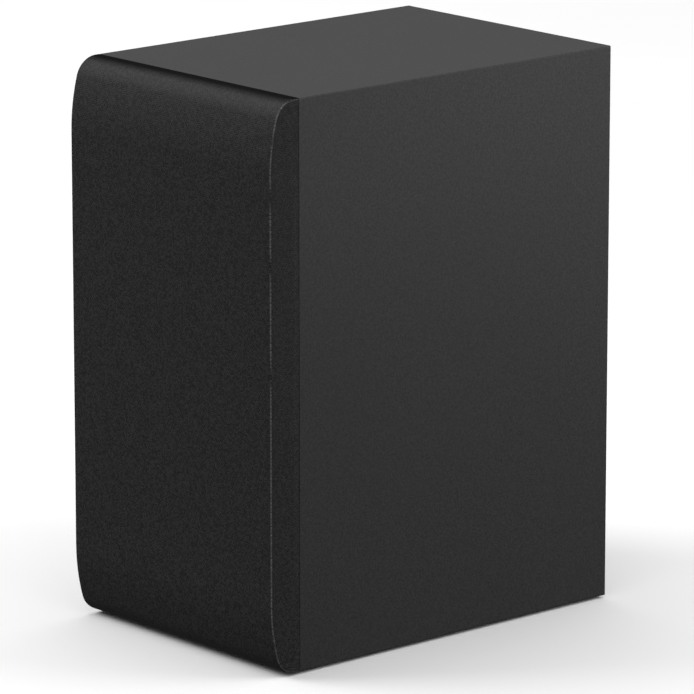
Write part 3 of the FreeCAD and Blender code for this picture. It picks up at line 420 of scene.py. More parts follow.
finishNodes = (
    (fibreBoard, "top_panel bottom_panel left_panel right_panel"),
    (blackFoil, "front_baffle rear_panel"),
    (foil, "vinyl_wrap"),
    (footRubber, "rubber_feet grille_sockets"),
    (frameAbs, "grille_frame"),
    (basketPaint, "woofer_basket"),
    (foam, "woofer_seal amp_plate_seal"),
    (moulding, "woofer_trim_ring duct_tube duct_inner_flare amp_plate pairing_button"),
    (formerFoil, "voice_coil_former"),
    (zinc, "top_plate pole_yoke"),
    (ferrite, "ring_magnet output_inductors"),
    (tagBoard, "terminal_strip"),
    (tinned, "terminal_lugs inlet_pins fuse_clips"),
    (glossyAbs, "power_inlet"),
    (epoxy, "tact_switch amplifier_chip"),
    (nylon, "tact_plunger module_header speaker_header lead_plug"),
    (clearPlastic, "light_pipe"),
    (lampWhite, "status_led"),
    (circuit, "main_board wireless_module"),
    (laminate, "transformer_core"),
    (coilTape, "transformer_winding"),
    (canSleeve, "bulk_capacitors filter_capacitors"),
    (anodised, "heat_sink"),
    (fuseGlass, "board_fuse"),
    (chokeCore, "emi_choke"),
    (leadPvc, "speaker_lead"),
    (sleevePvc, "lead_receptacles"),
    (clipNylon, "lead_clips"),
)
for material, nodes in finishNodes:
    for node in nodes.split():
        mesh = frame["nodes"][node].data
        mesh.materials.clear()
        mesh.materials.append(material)


def standIn(piece, slotName, node=None, body=None):
    # what the piece stands for, the slot that its finish comes from (not used), and the body that it rides on
    if node:
        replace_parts(piece, node)
    if body:
        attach(piece, body)


# mesh helpers

def addObject(name, data):
    made = bpy.data.objects.new(name, data)
    bpy.context.scene.collection.objects.link(made)
    return made


def evaluatedMesh(holder):
    return bpy.data.meshes.new_from_object(holder.evaluated_get(bpy.context.evaluated_depsgraph_get()))


def eased(t):
    # 0 to 1 with a soft start and a soft end
    t = max(0.0, min(1.0, t))
    return t * t * (3 - 2 * t)


def meshObject(name, verts, faces, material, uvs=None, corners=None, sharp=40, close=True):
    # uvs: one pair per vertex; corners: a function from face index and vertex index to a pair
    mesh = bpy.data.meshes.new(name)
    mesh.from_pydata([tuple(v) for v in verts], [], faces)
    if uvs or corners:
        layer = mesh.uv_layers.new(name="weave")
        for face in mesh.polygons:
            for loop in face.loop_indices:
                vertex = mesh.loops[loop].vertex_index
                layer.data[loop].uv = corners(face.index, vertex) if corners else uvs[vertex]
    mesh.materials.append(material)
    soften(mesh, sharp, close)
    return addObject(name, mesh)


def soften(mesh, sharp, close=True):
    work = bmesh.new()
    work.from_mesh(mesh)
    if close:
        bmesh.ops.recalc_face_normals(work, faces=work.faces)
    limit = math.radians(sharp)
    for face in work.faces:
        face.smooth = True
    for edge in work.edges:
        if len(edge.link_faces) == 2 and edge.calc_face_angle() > limit:
            edge.smooth = False
    work.to_mesh(mesh)
    work.free()


def arcPoints(centre, radius, start, end, steps):
    # points on an arc in the plane of (radius from the axis, depth), angles in degrees
    return [(centre[0] + radius * math.cos(math.radians(start + (end - start) * i / steps)),
             centre[1] + radius * math.sin(math.radians(start + (end - start) * i / steps)))
            for i in range(steps + 1)]


def turnedObject(name, profile, height, material, segments=128, sharp=40):
    # a closed outline of (radius, depth), spun about the axis along Y at that height
    verts, rings = [], []
    for radius, depth in profile:
        if radius < 1e-7:
            rings.append([len(verts)] * segments)
            verts.append((0, depth, height))
        else:
            rings.append(list(range(len(verts), len(verts) + segments)))
            verts += [(radius * math.cos(2 * math.pi * j / segments), depth,
                       height + radius * math.sin(2 * math.pi * j / segments)) for j in range(segments)]
    lengths = [0.0]
    for a, b in zip(profile, profile[1:] + profile[:1]):
        lengths.append(lengths[-1] + math.dist(a, b))
    faces, places = [], []
    meanRadius = sum(r for r, _ in profile) / len(profile)
    for i in range(len(profile)):
        here, there = rings[i], rings[(i + 1) % len(profile)]
        if here is there or (here[0] == here[1] and there[0] == there[1]):
            continue
        for j in range(segments):
            k = (j + 1) % segments
            loop = {}
            for vertex, turn, length in ((here[j], j, lengths[i]), (here[k], j + 1, lengths[i]),
                                         (there[k], j + 1, lengths[i + 1]), (there[j], j, lengths[i + 1])):
                loop.setdefault(vertex, (turn / segments * 2 * math.pi * meanRadius, length))
            faces.append(list(loop))
            places.append(loop)
    return meshObject(name, verts, faces, material, corners=lambda f, v: places[f][v], sharp=sharp)


# grille cloth: one stretched sheet over the front and both flanks, its hem folded behind the frame

grilleCloth = {
    "thick": 0.7 * mm,
    "edge": 0.75 * mm,       # bend over the upright edges
    "browFlat": 2.8 * mm,
    "browRadius": 14.0 * mm,
    "browTurn": 74.4,        # degrees, before the long arc
    "boxFront": -105.0 * mm,
    "frameRear": -105.5 * mm,
    "rear": -105.3 * mm,     # back of the hem, a shadow gap from the cabinet
    "roll": 0.45 * mm,       # bend into the hem
    "hem": 7.0 * mm,
    "frontColumns": 34,
    "flankTuck": 0.14,       # painted shade down the flanks
    "browTuck": (0.82, 0.17, 1.2),     # painted shade on the brow: where it starts up the brow, over how much, and its power
    "creaseTilt": 1.2,       # radians: past this tilt the pale painted highlight line is weak
    "weakCrease": 0.4,
}


def browProfile(spec, low, high, face):
    # (depth, height, tilt) from the top rear edge over the front to the bottom rear edge
    flatSteps, turnSteps, arcSteps, frontSteps = 3, 14, 12, 24
    turn, radius, flat = math.radians(spec["browTurn"]), spec["browRadius"], spec["browFlat"]
    start = spec["boxFront"] - flat
    longRadius = (spec["boxFront"] - face - flat - radius * math.sin(turn)) / (1 - math.sin(turn))
    points = []
    for step in range(flatSteps):
        points.append((spec["rear"] + (start - spec["rear"]) * step / flatSteps, high, 0.0))
    for step in range(turnSteps + 1):
        a = turn * step / turnSteps
        points.append((start - radius * math.sin(a), high - radius + radius * math.cos(a), a))
    far = longRadius - radius
    cy, cz = start + far * math.sin(turn), high - radius - far * math.cos(turn)
    for step in range(1, arcSteps + 1):
        a = turn + (math.pi / 2 - turn) * step / arcSteps
        points.append((cy - longRadius * math.sin(a), cz + longRadius * math.cos(a), a))
    top = [(y, z, math.pi / 2 - a) for y, z, a in points]
    below = [(y, low + high - z, -up) for y, z, up in reversed(top)]
    drop = below[0][1] - top[-1][1]
    middle = [(face, top[-1][1] + drop * i / frontSteps, 0.0) for i in range(1, frontSteps)]
    return top + middle + below


def makeGrilleCloth(spec):
    low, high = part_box("grille_fabric")
    half = high.x
    outline = browProfile(spec, low.z, high.z, low.y)
    lengths = [0.0]
    for a, b in zip(outline, outline[1:]):
        lengths.append(lengths[-1] + math.dist(a[:2], b[:2]))
    middle = lengths[-1] / 2
    midZ = (low.z + high.z) / 2
    edge, rear, roll = spec["edge"], spec["rear"], spec["roll"]
    edgeSteps, sideSteps = 4, 8
    shadeFrom, shadeOver, shadePower = spec["browTuck"]
    verts, uvs, crease, tuck, rows = [], [], [], [], []
    for index, (y, z, up) in enumerate(outline):
        outY, outZ = -math.cos(up), math.sin(up)
        run = middle - lengths[index]
        share = 1 - lengths[index] / lengths[-1]
        rearZ = low.z + edge + (high.z - low.z - 2 * edge) * share
        row = []
        # left flank from the rear, round the edge, across, round the other edge, right flank to the rear
        sideY, sideZ = y - outY * edge, z - outZ * edge
        for step in range(sideSteps):
            t = 1 - step / sideSteps
            flankY, flankZ = sideY + (rear - sideY) * t, sideZ + (rearZ - sideZ) * t
            row.append(((-half, flankY, flankZ), (-half - (flankY - y), flankZ - midZ), 0.0))
        # round each upright edge the pale line of painted highlight is set
        for step in range(edgeSteps + 1):
            a = math.pi / 2 * step / edgeSteps
            inward = edge * (1 - math.sin(a))
            row.append(((-half + edge - edge * math.cos(a), sideY + outY * edge * math.sin(a),
                         sideZ + outZ * edge * math.sin(a)), (-half + edge * a / 2, run),
                        math.sin(math.pi * step / edgeSteps) if abs(up) < spec["creaseTilt"]
                        else spec["weakCrease"]))
        for step in range(1, spec["frontColumns"]):
            x = -half + edge + (2 * half - 2 * edge) * step / spec["frontColumns"]
            row.append(((x, y, z), (x, run), 0.0))
        mirrored = [((-p[0], p[1], p[2]), (-q[0], q[1]), c) for p, q, c in
                    reversed(row[:sideSteps + edgeSteps + 1])]
        row += mirrored
        rows.append(list(range(len(verts), len(verts) + len(row))))
        for p, q, c in row:
            verts.append(p)
            uvs.append(q)
            crease.append(c)
            # painted shade: full on the flat next to the seam, fading up the brow
            level = max(0.0, min(1.0, (math.sin(up) - shadeFrom) / shadeOver)) ** shadePower
            # the flanks get a weak painted shade
            onFlank = abs(p[0]) >= half - 0.1 * mm
            tuck.append(spec["flankTuck"] if onFlank else level if z > midZ else 0.0)
    faces = []
    for above, below in zip(rows, rows[1:]):
        for j in range(len(above) - 1):
            faces.append((above[j], above[j + 1], below[j + 1], below[j]))
    # the hem: the rim runs along the top row, down the right flank's rear, along the bottom and up the left
    rim = rows[0] + [r[-1] for r in rows[1:]] + rows[-1][-2::-1] + [r[0] for r in rows[-2:0:-1]]
    outward = ([(0, 1)] * len(rows[0]) + [(1, 0)] * (len(rows) - 1) + [(0, -1)] * (len(rows[-1]) - 1)
               + [(-1, 0)] * (len(rows) - 2))     # the way the weave runs on into the hem
    previous = rim
    # the hem behind the frame gets painted shade, half at the first roll and full from there
    for inward, back, hemShade in ((roll * 0.3, -roll * 0.1, 0.5), (roll, 0.0, 1.0),
                                 (spec["hem"] * 0.5, 0.0, 1.0), (spec["hem"], 0.0, 1.0)):
        ring = []
        for vertex, (pushU, pushV) in zip(rim, outward):
            x, y, z = verts[vertex]
            newX = max(-half + inward, min(half - inward, x))
            newZ = max(low.z + inward, min(high.z - inward, z))
            ring.append(len(verts))
            verts.append((newX, rear + back, newZ))
            uvs.append((uvs[vertex][0] + pushU * inward, uvs[vertex][1] + pushV * inward))
            crease.append(0.0)
            tuck.append(hemShade)
        for j in range(len(rim)):
            k = (j + 1) % len(rim)
            faces.append((previous[j], ring[j], ring[k], previous[k]))
        previous = ring
    piece = meshObject("grilleCloth", verts, faces, cloth, uvs=uvs, sharp=60, close=False)
    work = bmesh.new()
    work.from_mesh(piece.data)
    bmesh.ops.remove_doubles(work, verts=work.verts, dist=1e-6)
    bmesh.ops.recalc_face_normals(work, faces=work.faces)
    front = min(work.faces, key=lambda f: f.calc_center_median().y)
    if front.normal.y > 0:
        bmesh.ops.reverse_faces(work, faces=work.faces)
    work.to_mesh(piece.data)
    work.free()
    for label, levels in (("crease", crease), ("tuck", tuck)):
        found = {tuple(round(c, 7) for c in v): level for v, level in zip(verts, levels)}
        layer = piece.data.attributes.new(label, "FLOAT", "POINT")
        for i, vertex in enumerate(piece.data.vertices):
            layer.data[i].value = found.get(tuple(round(c, 7) for c in vertex.co), 0)
    wall = piece.modifiers.new("cloth thickness", "SOLIDIFY")
    wall.thickness, wall.offset = spec["thick"], -1
    flank = spec["frameRear"] - low.y
    return piece, (2 * half + 2 * flank + 2 * spec["hem"], lengths[-1] + 2 * spec["hem"])


clothPiece, clothCut = makeGrilleCloth(grilleCloth)
standIn(clothPiece, "cloth", "grille_fabric", "grille")
print("grille cloth: %d faces, cut to %.0f x %.0f mm"
      % (len(clothPiece.data.polygons), clothCut[0] / mm, clothCut[1] / mm))


# woofer: the pieces that move or bend are made fine, the rest keep the frame's shapes

wooferShape = {
    "axis": 175.0 * mm,
    "flange": -104.0 * mm,
    "rollCentre": 51.75 * mm,
    "rollRadius": 4.75 * mm,
    "rubber": 0.7 * mm,
    "rubberEdge": 62.9 * mm,
    "rubberFoot": 3.4 * mm,        # glued to the cone's lip
    "coneRim": 47.0 * mm,
    "coneLip": 3.6 * mm,
    "coneNeck": 15.7 * mm,
    "neckDepth": -86.5 * mm,
    "coneWall": 0.8 * mm,
    "ribs": (28.0 * mm, 36.0 * mm),
    "ribWidth": 1.1 * mm,
    "ribHeight": 0.25 * mm,
    "capRim": 19.5 * mm,
    "capRise": 6.5 * mm,
    "capWall": 0.5 * mm,
    "spiderPlane": -75.2 * mm,
    "spiderNeck": 15.9 * mm,
    "spiderFlat": 1.7 * mm,        # before the first wave
    "spiderWave": 2.0 * mm,
    "spiderWaves": 9,
    "spiderSwell": 0.6 * mm,
    "spiderHeld": 36.5 * mm,       # from here out it stays with the basket
    "spiderEdge": 42.0 * mm,
    "spiderWall": 0.5 * mm,
    "coilWire": 0.34 * mm,
}


def makeSurround(s):
    inner, face = s["coneRim"] - s["rubberFoot"], s["flange"] - s["rubber"]
    centre = (s["rollCentre"], s["flange"])
    under, over = s["rollRadius"] - s["rubber"] / 2, s["rollRadius"] + s["rubber"] / 2
    reach = math.degrees(math.acos(math.sqrt(over ** 2 - s["rubber"] ** 2) / over))
    near = [(inner, s["flange"])] + arcPoints(centre, under, 180, 360, 20) + [(s["rubberEdge"], s["flange"])]
    far = [(s["rubberEdge"], face)] + arcPoints(centre, over, 360 - reach, 180 + reach, 20) + [(inner, face)]
    return turnedObject("wooferSurround", near + far, s["axis"], surroundRubber, 144)


def makeCone(s):
    # a pulp cone with two shallow stiffening ribs
    rim, neck, wall = s["coneRim"] - s["coneLip"], s["coneNeck"], s["coneWall"]
    front, steps = [], 40
    for i in range(steps + 1):
        t = i / steps
        r = rim + (neck - rim) * t
        y = s["flange"] + (s["neckDepth"] - s["flange"]) * t
        rib = sum(math.exp(-((r - at) / s["ribWidth"]) ** 2) for at in s["ribs"])
        front.append((r, y - s["ribHeight"] * rib))
    back = [(r, y + wall) for r, y in reversed(front)]
    profile = [(s["coneRim"], s["flange"])] + front + back + [(s["coneRim"], s["flange"] + wall)]
    return turnedObject("wooferCone", profile, s["axis"], pulp, 128)


def makeDustCap(s):
    slope = (s["neckDepth"] - s["flange"]) / (s["coneRim"] - s["coneLip"] - s["coneNeck"])
    seat = s["neckDepth"] - (s["capRim"] - s["coneNeck"]) * slope
    ball = (s["capRim"] ** 2 + s["capRise"] ** 2) / (2 * s["capRise"])
    centre = seat - s["capRise"] + ball
    sweep = math.degrees(math.asin(s["capRim"] / ball))
    outer = arcPoints((0, centre), ball, -90 + sweep, -90, 14)
    thin = ball - s["capWall"]
    inner = arcPoints((0, centre), thin, -90, -90 + sweep * 0.97, 14)
    outer[-1], inner[0] = (0, centre - ball), (0, centre - thin)
    return turnedObject("dustCap", [(r, min(y, seat)) for r, y in outer + inner], s["axis"], capPulp, 96)


def makeSpider(s):
    near, far, steps = [], [], 96
    first = s["spiderNeck"] + s["spiderFlat"]
    last = first + s["spiderWaves"] * s["spiderWave"]
    for i in range(steps + 1):
        r = s["spiderNeck"] + (s["spiderEdge"] - s["spiderNeck"]) * i / steps
        swell = 0
        if first < r < last:
            swell = s["spiderSwell"] * math.sin(math.pi * (r - first) / s["spiderWave"])
        near.append((r, s["spiderPlane"] - s["spiderWall"] + swell))
        far.append((r, s["spiderPlane"] + swell))
    return turnedObject("coilSpider", near + far[::-1], s["axis"], spiderCloth, 112, sharp=60)


def bendBetween(piece, start, end, weight):
    # the blend runs outwards from the axis, so each point gets its own weight
    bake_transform(piece, "cabinet", "cone", start=start, end=end)
    layer = piece.data.attributes["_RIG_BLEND"]
    for vertex in piece.data.vertices:
        layer.data[vertex.index].value = weight(vertex.co)


def easedRing(inner, outer, height):
    # 1 at the inner radius, 0 at the outer one
    return lambda place: eased((outer - math.hypot(place.x, place.z - height)) / (outer - inner))


s = wooferShape
surround, cone, dustCap, spider = makeSurround(s), makeCone(s), makeDustCap(s), makeSpider(s)
bendBetween(surround, (s["rubberEdge"], 0, s["axis"]), (s["coneRim"], 0, s["axis"]),
            easedRing(s["coneRim"] + 0.2 * mm, s["rollCentre"] + s["rollRadius"], s["axis"]))
bendBetween(spider, (s["spiderEdge"], 0, s["axis"]), (s["spiderNeck"], 0, s["axis"]),
            easedRing(s["spiderNeck"] + 1 * mm, s["spiderHeld"], s["axis"]))
standIn(surround, "rubber", "woofer_surround")
standIn(spider, "spider_cloth", "spider")
standIn(cone, "paper", "woofer_cone", "cone")
standIn(dustCap, "cap", "dust_cap", "cone")


def makeTurns(radius, start, end, wire, height):
    # the coil's outside: one small bead of wire for each turn
    turns = round((end - start) / wire)
    profile = [(radius - wire, start)]
    for i in range(turns):
        y = start + (end - start) * (i + 0.5) / turns
        profile += arcPoints((radius - wire * 0.45, y), wire * 0.45, -90, 90, 4)
    profile.append((radius - wire, end))
    return turnedObject("coilWinding", profile, height, copper, 72, sharp=80)


coilLow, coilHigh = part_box("voice_coil_winding")
coilTurns = makeTurns(coilHigh.x, coilLow.y, coilHigh.y, s["coilWire"], s["axis"])
standIn(coilTurns, "coil_wire", "voice_coil_winding", "cone")
print("woofer pieces made")


# flexible leads: braided cords from the terminal strip to the back of the cone

leadRoute = {
    "points": [(9.5, -85.4, 117.2), (10.5, -83.9, 125.4), (9.5, -83.4, 134.4), (7.5, -86.6, 143.0),
               (6.5, -91.6, 149.0)],     # in mm, from the strip up to the cone
    "radius": 0.6 * mm,
    "bend": (119 * mm, 147 * mm),        # heights between which the cord takes up the stroke
    "depth": -85 * mm,
}


def smoothRoute(points):
    curve = bpy.data.curves.new("route", "CURVE")
    curve.dimensions = "3D"
    curve.resolution_u = 12
    spline = curve.splines.new("NURBS")
    spline.points.add(len(points) - 1)
    for point, place in zip(spline.points, points):
        point.co = (*place, 1)
    spline.order_u = 3
    spline.use_endpoint_u = True
    holder = addObject("route", curve)
    found = [v.co.copy() for v in evaluatedMesh(holder).vertices]
    bpy.data.objects.remove(holder)
    return found


def makeLeads(spec, around=12):
    verts, faces, uvs = [], [], []
    for sign in (-1, 1):
        line = smoothRoute([(sign * x * mm, y * mm, z * mm) for x, y, z in spec["points"]])
        side = Vector((1, 0, 0))
        base, run = len(verts), 0.0
        for i, place in enumerate(line):
            ahead = (line[min(i + 1, len(line) - 1)] - line[max(i - 1, 0)]).normalized()
            side = (side - ahead * side.dot(ahead)).normalized()
            other = ahead.cross(side)
            run += (place - line[i - 1]).length if i else 0.0
            for j in range(around):
                a = 2 * math.pi * j / around
                verts.append(place + (side * math.cos(a) + other * math.sin(a)) * spec["radius"])
                uvs.append((a * spec["radius"], run))
        for i in range(len(line) - 1):
            for j in range(around):
                here, there, k = base + i * around, base + (i + 1) * around, (j + 1) % around
                faces.append((here + j, here + k, there + k, there + j))
        faces.append(tuple(base + j for j in reversed(range(around))))
        faces.append(tuple(base + (len(line) - 1) * around + j for j in range(around)))
    return meshObject("tinselLeads", verts, faces, litz, uvs=uvs, sharp=60)


leads = makeLeads(leadRoute)
lowZ, highZ = leadRoute["bend"]
bendBetween(leads, (0, leadRoute["depth"], lowZ), (0, leadRoute["depth"], highZ),
            lambda place: eased((place.z - lowZ) / (highZ - lowZ)))
standIn(leads, "litz", "tinsel_leads")
print("flexible leads made")


# wadding: soft pads with pillowed, slightly ragged faces

padShape = {
    "thick": 9.0 * mm,
    "top": 296 * mm,         # of the side pads
    "topHalf": 60 * mm,      # half the width of the pad under the top
    "grid": 6 * mm,
    "layers": 4,
    "puff": 0.6 * mm,
    "edge": 9.0 * mm,        # how far in the edges are rounded
    "edgeThick": 0.45,
    "roughness": 60,
    "seed": 11,
}


def makePad(name, low, high, thinAxis, wallSide):
    # thinAxis: the pad's thin direction; wallSide: the side that lies on the wall, -1 or 1
    wide, tall = [a for a in range(3) if a != thinAxis]
    size = [high[a] - low[a] for a in (wide, tall)]
    steps = [max(4, round(c / padShape["grid"])) for c in size] + [padShape["layers"]]
    verts, faces, known = [], [], {}

    def place(key):
        if key in known:
            return known[key]
        u, v, w = (key[n] / steps[n] for n in range(3))
        rim = min(1.0, min(min(u, 1 - u) * size[0], min(v, 1 - v) * size[1]) / padShape["edge"])
        crown = math.sqrt(max(0.0, 1 - (1 - rim) ** 2))
        spot = [0, 0, 0]
        spot[wide], spot[tall] = low[wide] + size[0] * u, low[tall] + size[1] * v
        rough = noise.noise(Vector(spot) * padShape["roughness"] + Vector((0, 0, padShape["seed"])))
        share = padShape["edgeThick"] + (1 - padShape["edgeThick"]) * crown
        thick = (high[thinAxis] - low[thinAxis]) * share - padShape["puff"] * (1 + rough)
        base = high[thinAxis] if wallSide > 0 else low[thinAxis]
        spot[thinAxis] = base - wallSide * thick * w
        known[key] = len(verts)
        verts.append(spot)
        return known[key]

    for side in range(3):
        a, b = [n for n in range(3) if n != side]
        for end in (0, steps[side]):
            for i in range(steps[a]):
                for j in range(steps[b]):
                    face = []
                    for nextI, nextJ in ((0, 0), (1, 0), (1, 1), (0, 1)):
                        key = [end] * 3
                        key[a], key[b] = i + nextI, j + nextJ
                        face.append(place(tuple(key)))
                    faces.append(face)
    return meshObject(name, verts, faces, wadding, sharp=180)


padLow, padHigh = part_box("wadding_pads")
padThick, padTop, padHalf = padShape["thick"], padShape["top"], padShape["topHalf"]
pads = [
    makePad("leftPad", (padLow.x, padLow.y, padLow.z), (padLow.x + padThick, padHigh.y, padTop), 0, -1),
    makePad("rightPad", (padHigh.x - padThick, padLow.y, padLow.z), (padHigh.x, padHigh.y, padTop), 0, 1),
    makePad("topPad", (-padHalf, padLow.y, padHigh.z - padThick), (padHalf, padHigh.y, padHigh.z), 2, 1),
]
for pad in pads:
    standIn(pad, "wadding", body="cabinet")
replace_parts(pads[0], "wadding_pads")
print("wadding pads made:", len(pads))


# geometry nodes: one small class that builds a tree and bakes the result to plain mesh

class Tree(NodeMaker):
    prefix = "GeometryNode"

    def __init__(self, name, **inputs):
        # a default's type decides the kind of its input
        super().__init__(bpy.data.node_groups.new(name, "GeometryNodeTree"))
        kinds = {float: "Float", int: "Int", tuple: "Vector"}
        self.input("Geometry", "Geometry")
        self.ids = {key: self.input(spaced(key), kinds[type(value)], value) for key, value in inputs.items()}
        self.ids["finish"] = self.input("Finish", "Material")
        self.tree.interface.new_socket("Geometry", in_out="OUTPUT", socket_type="NodeSocketGeometry")
        self.start = self.tree.nodes.new("NodeGroupInput")
        self.end = self.tree.nodes.new("NodeGroupOutput")

    def input(self, label, kind, value=None):
        made = self.tree.interface.new_socket(label, in_out="INPUT", socket_type="NodeSocket" + kind)
        if value is not None:
            made.default_value = value
        return made.identifier

    def __getitem__(self, key):
        return Wire(self.tree, self.start.outputs[spaced(key)])

    def vector(self, x=0.0, y=0.0, z=0.0):
        return self.node("ShaderNodeCombineXYZ", sockets={0: x, 1: y, 2: z})

    def chance(self, low, high, seed):
        return self.node("FunctionNodeRandomValue", {"data_type": "FLOAT"},
                         {2: low, 3: high, "Seed": seed}, 1)

    def moved(self, geometry, offset=(0, 0, 0), turn=(0, 0, 0)):
        return self.node("Transform", sockets={"Geometry": geometry, "Translation": offset, "Rotation": turn})

    def copied(self, instance, points, rotation=(0, 0, 0), scale=(1, 1, 1)):
        return self.node("InstanceOnPoints", sockets={"Points": points, "Instance": instance,
                                                      "Rotation": rotation, "Scale": scale})

    def placed(self, instance, rotation=(0, 0, 0)):
        # one copy at each point of the mesh that the tree is given
        return self.copied(instance, self.node("MeshToPoints", sockets={0: self["geometry"]}), rotation)

    def finish(self, geometry):
        plain = self.node("RealizeInstances", sockets={0: geometry})
        dressed = self.node("SetMaterial", sockets={"Geometry": plain, "Material": self["finish"]})
        self.tree.links.new(dressed.socket, self.end.inputs[0])
        return self

    def bake(self, name, points, sharp=35, **values):
        # points: where the copies go; values: what the tree's inputs are set to
        mesh = bpy.data.meshes.new(name + "Places")
        mesh.from_pydata([tuple(p) for p in points], [], [])
        holder = addObject(name, mesh)
        modifier = holder.modifiers.new("build", "NODES")
        modifier.node_group = self.tree
        for key, value in values.items():
            modifier[self.ids[key]] = value
        holder.update_tag()
        bpy.context.view_layer.update()
        made = evaluatedMesh(holder)
        made.name = name
        holder.modifiers.remove(modifier)
        holder.data = made
        soften(made, sharp)
        return holder


def screwTree():
    # a pan head with a cross recess on a threaded shank, head along +Z before it is turned
    t = Tree("crossHeadScrew", headRadius=3.0 * mm, headHeight=1.8 * mm, shankRadius=1.5 * mm,
             shankLength=10.0 * mm, facing=(0.0, 0.0, 0.0), seed=3)
    threadPitch, threadDepth, headFall = 1.1 * mm, 0.07, 0.42

    def rod(radius, length, around, along, rings):
        return t.node("MeshCylinder", {"fill_type": "TRIANGLE_FAN"},
                      {"Vertices": around, "Side Segments": along, "Fill Segments": rings,
                       "Radius": t[radius], "Depth": t[length]})

    x, y, z = t.split(t.node("InputPosition"))
    radius, height = t["headRadius"], t["headHeight"]
    head = t.moved(rod("headRadius", "headHeight", 32, 1, 6), t.vector(z=height * 0.5))
    reach = t.node("ShaderNodeVectorMath", {"operation": "LENGTH"}, {0: t.vector(x, y)}, 1)
    sag = (reach / radius).do("POWER", 3.0) * -headFall * height * z.do("GREATER_THAN", height * 0.5)
    head = t.node("SetPosition", sockets={"Geometry": head, "Offset": t.vector(z=sag)})
    arm, thin, deep = radius * 1.05, radius * 0.24, height * 1.3
    for size in ((arm, thin, deep), (thin, arm, deep)):
        bar = t.moved(t.node("MeshCube", sockets={"Size": t.vector(*size)}), t.vector(z=height * 1.1))
        head = t.node("MeshBoolean", {"operation": "DIFFERENCE"}, {"Mesh 1": head, "Mesh 2": bar})
    wave = (z * (2 * math.pi / threadPitch) + y.do("ARCTAN2", x)).do("SINE")
    swell = wave.do("MULTIPLY_ADD", threadDepth, 1 - threadDepth)
    shank = t.node("SetPosition", sockets={"Geometry": rod("shankRadius", "shankLength", 24, 48, 1),
                                           "Position": t.vector(x * swell, y * swell, z)})
    shank = t.moved(shank, t.vector(z=t["shankLength"] * -0.5))
    both = t.node("JoinGeometry", sockets={0: head})
    t.tree.links.new(shank.socket, both.socket.node.inputs[0])
    spin = t.vector(z=t.chance(0.0, 1.57, t["seed"]))
    placed = t.placed(both, t["facing"])
    return t.finish(t.node("RotateInstances", sockets={"Instances": placed, "Rotation": spin}))


def onCircle(radius, height, depth):
    return [(radius * math.cos(math.radians(a)), depth, height + radius * math.sin(math.radians(a)))
            for a in (45, 135, 225, 315)]


toBack, toFront = (-math.pi / 2, 0.0, 0.0), (math.pi / 2, 0.0, 0.0)     # turn a head to +Y or -Y
plateSpots = ((-56, 22), (56, 22), (-56, 120), (56, 120), (-56, 71), (56, 71), (0, 22), (0, 120))
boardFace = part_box("main_board")[0].y
screwSets = {
    # head and shank: radius and length
    "wooferScrews": dict(node="woofer_screws", slot="black_screw", finish=screwBlack, facing=toFront,
                         head=(3.6 * mm, 2.3 * mm), shank=(1.9 * mm, 12.5 * mm),
                         points=onCircle(66.8 * mm, 175 * mm, -104.0 * mm)),
    "ductScrews": dict(node="duct_screws", slot="black_screw", finish=screwBlack, facing=toBack,
                       head=(2.8 * mm, 1.6 * mm), shank=(1.5 * mm, 9.0 * mm),
                       points=onCircle(40.2 * mm, 250 * mm, 122.7 * mm)),
    "plateScrews": dict(node="amp_plate_screws", slot="black_screw", finish=screwBlack, facing=toBack,
                        head=(2.9 * mm, 1.7 * mm), shank=(1.5 * mm, 10.0 * mm),
                        points=[(x * mm, 123.6 * mm, z * mm) for x, z in plateSpots]),
    "boardScrews": dict(node="board_screws", slot="zinc_steel", finish=zinc, facing=toFront,
                        head=(2.6 * mm, 1.8 * mm), shank=(1.25 * mm, 8.0 * mm),
                        points=[(x * mm, boardFace, z * mm) for x in (-45, 45) for z in (35, 107)]),
}
screws = screwTree()
for name, spec in screwSets.items():
    piece = screws.bake(name, spec["points"], headRadius=spec["head"][0], headHeight=spec["head"][1],
                        shankRadius=spec["shank"][0], shankLength=spec["shank"][1], seed=5,
                        facing=spec["facing"], finish=spec["finish"])
    standIn(piece, spec["slot"], spec["node"], "cabinet")
    print(name, len(spec["points"]), "screws,", len(piece.data.polygons), "faces")


# copper turns round the mains choke

def ringTurnsTree():
    t = Tree("turnsOnRing", ringRadius=7.0 * mm, turnRadius=3.5 * mm, wire=0.4 * mm, turns=36)

    def circle(steps, radius):
        return t.node("CurvePrimitiveCircle", sockets={"Resolution": steps, "Radius": t[radius]})

    turn = t.node("CurveToMesh", sockets={"Curve": circle(20, "turnRadius"),
                                          "Profile Curve": circle(6, "wire")})
    turn = t.moved(turn, turn=(math.pi / 2, 0.0, 0.0))
    aligned = t.node("FunctionNodeAlignRotationToVector", {"axis": "Y"}, {"Vector": t.node("InputTangent")})
    return t.finish(t.placed(t.copied(turn, circle(t["turns"], "ringRadius"), aligned)))


chokeCoil = {"ringRadius": 7.0 * mm, "turnRadius": 3.62 * mm, "wire": 0.2 * mm, "turns": 44}
chokeLow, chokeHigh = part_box("emi_choke")
chokeTurns = ringTurnsTree().bake("chokeTurns", [(chokeLow + chokeHigh) / 2], 80, finish=copper, **chokeCoil)
standIn(chokeTurns, "coil_wire", body="cabinet")


# small parts scattered on the board's solder side

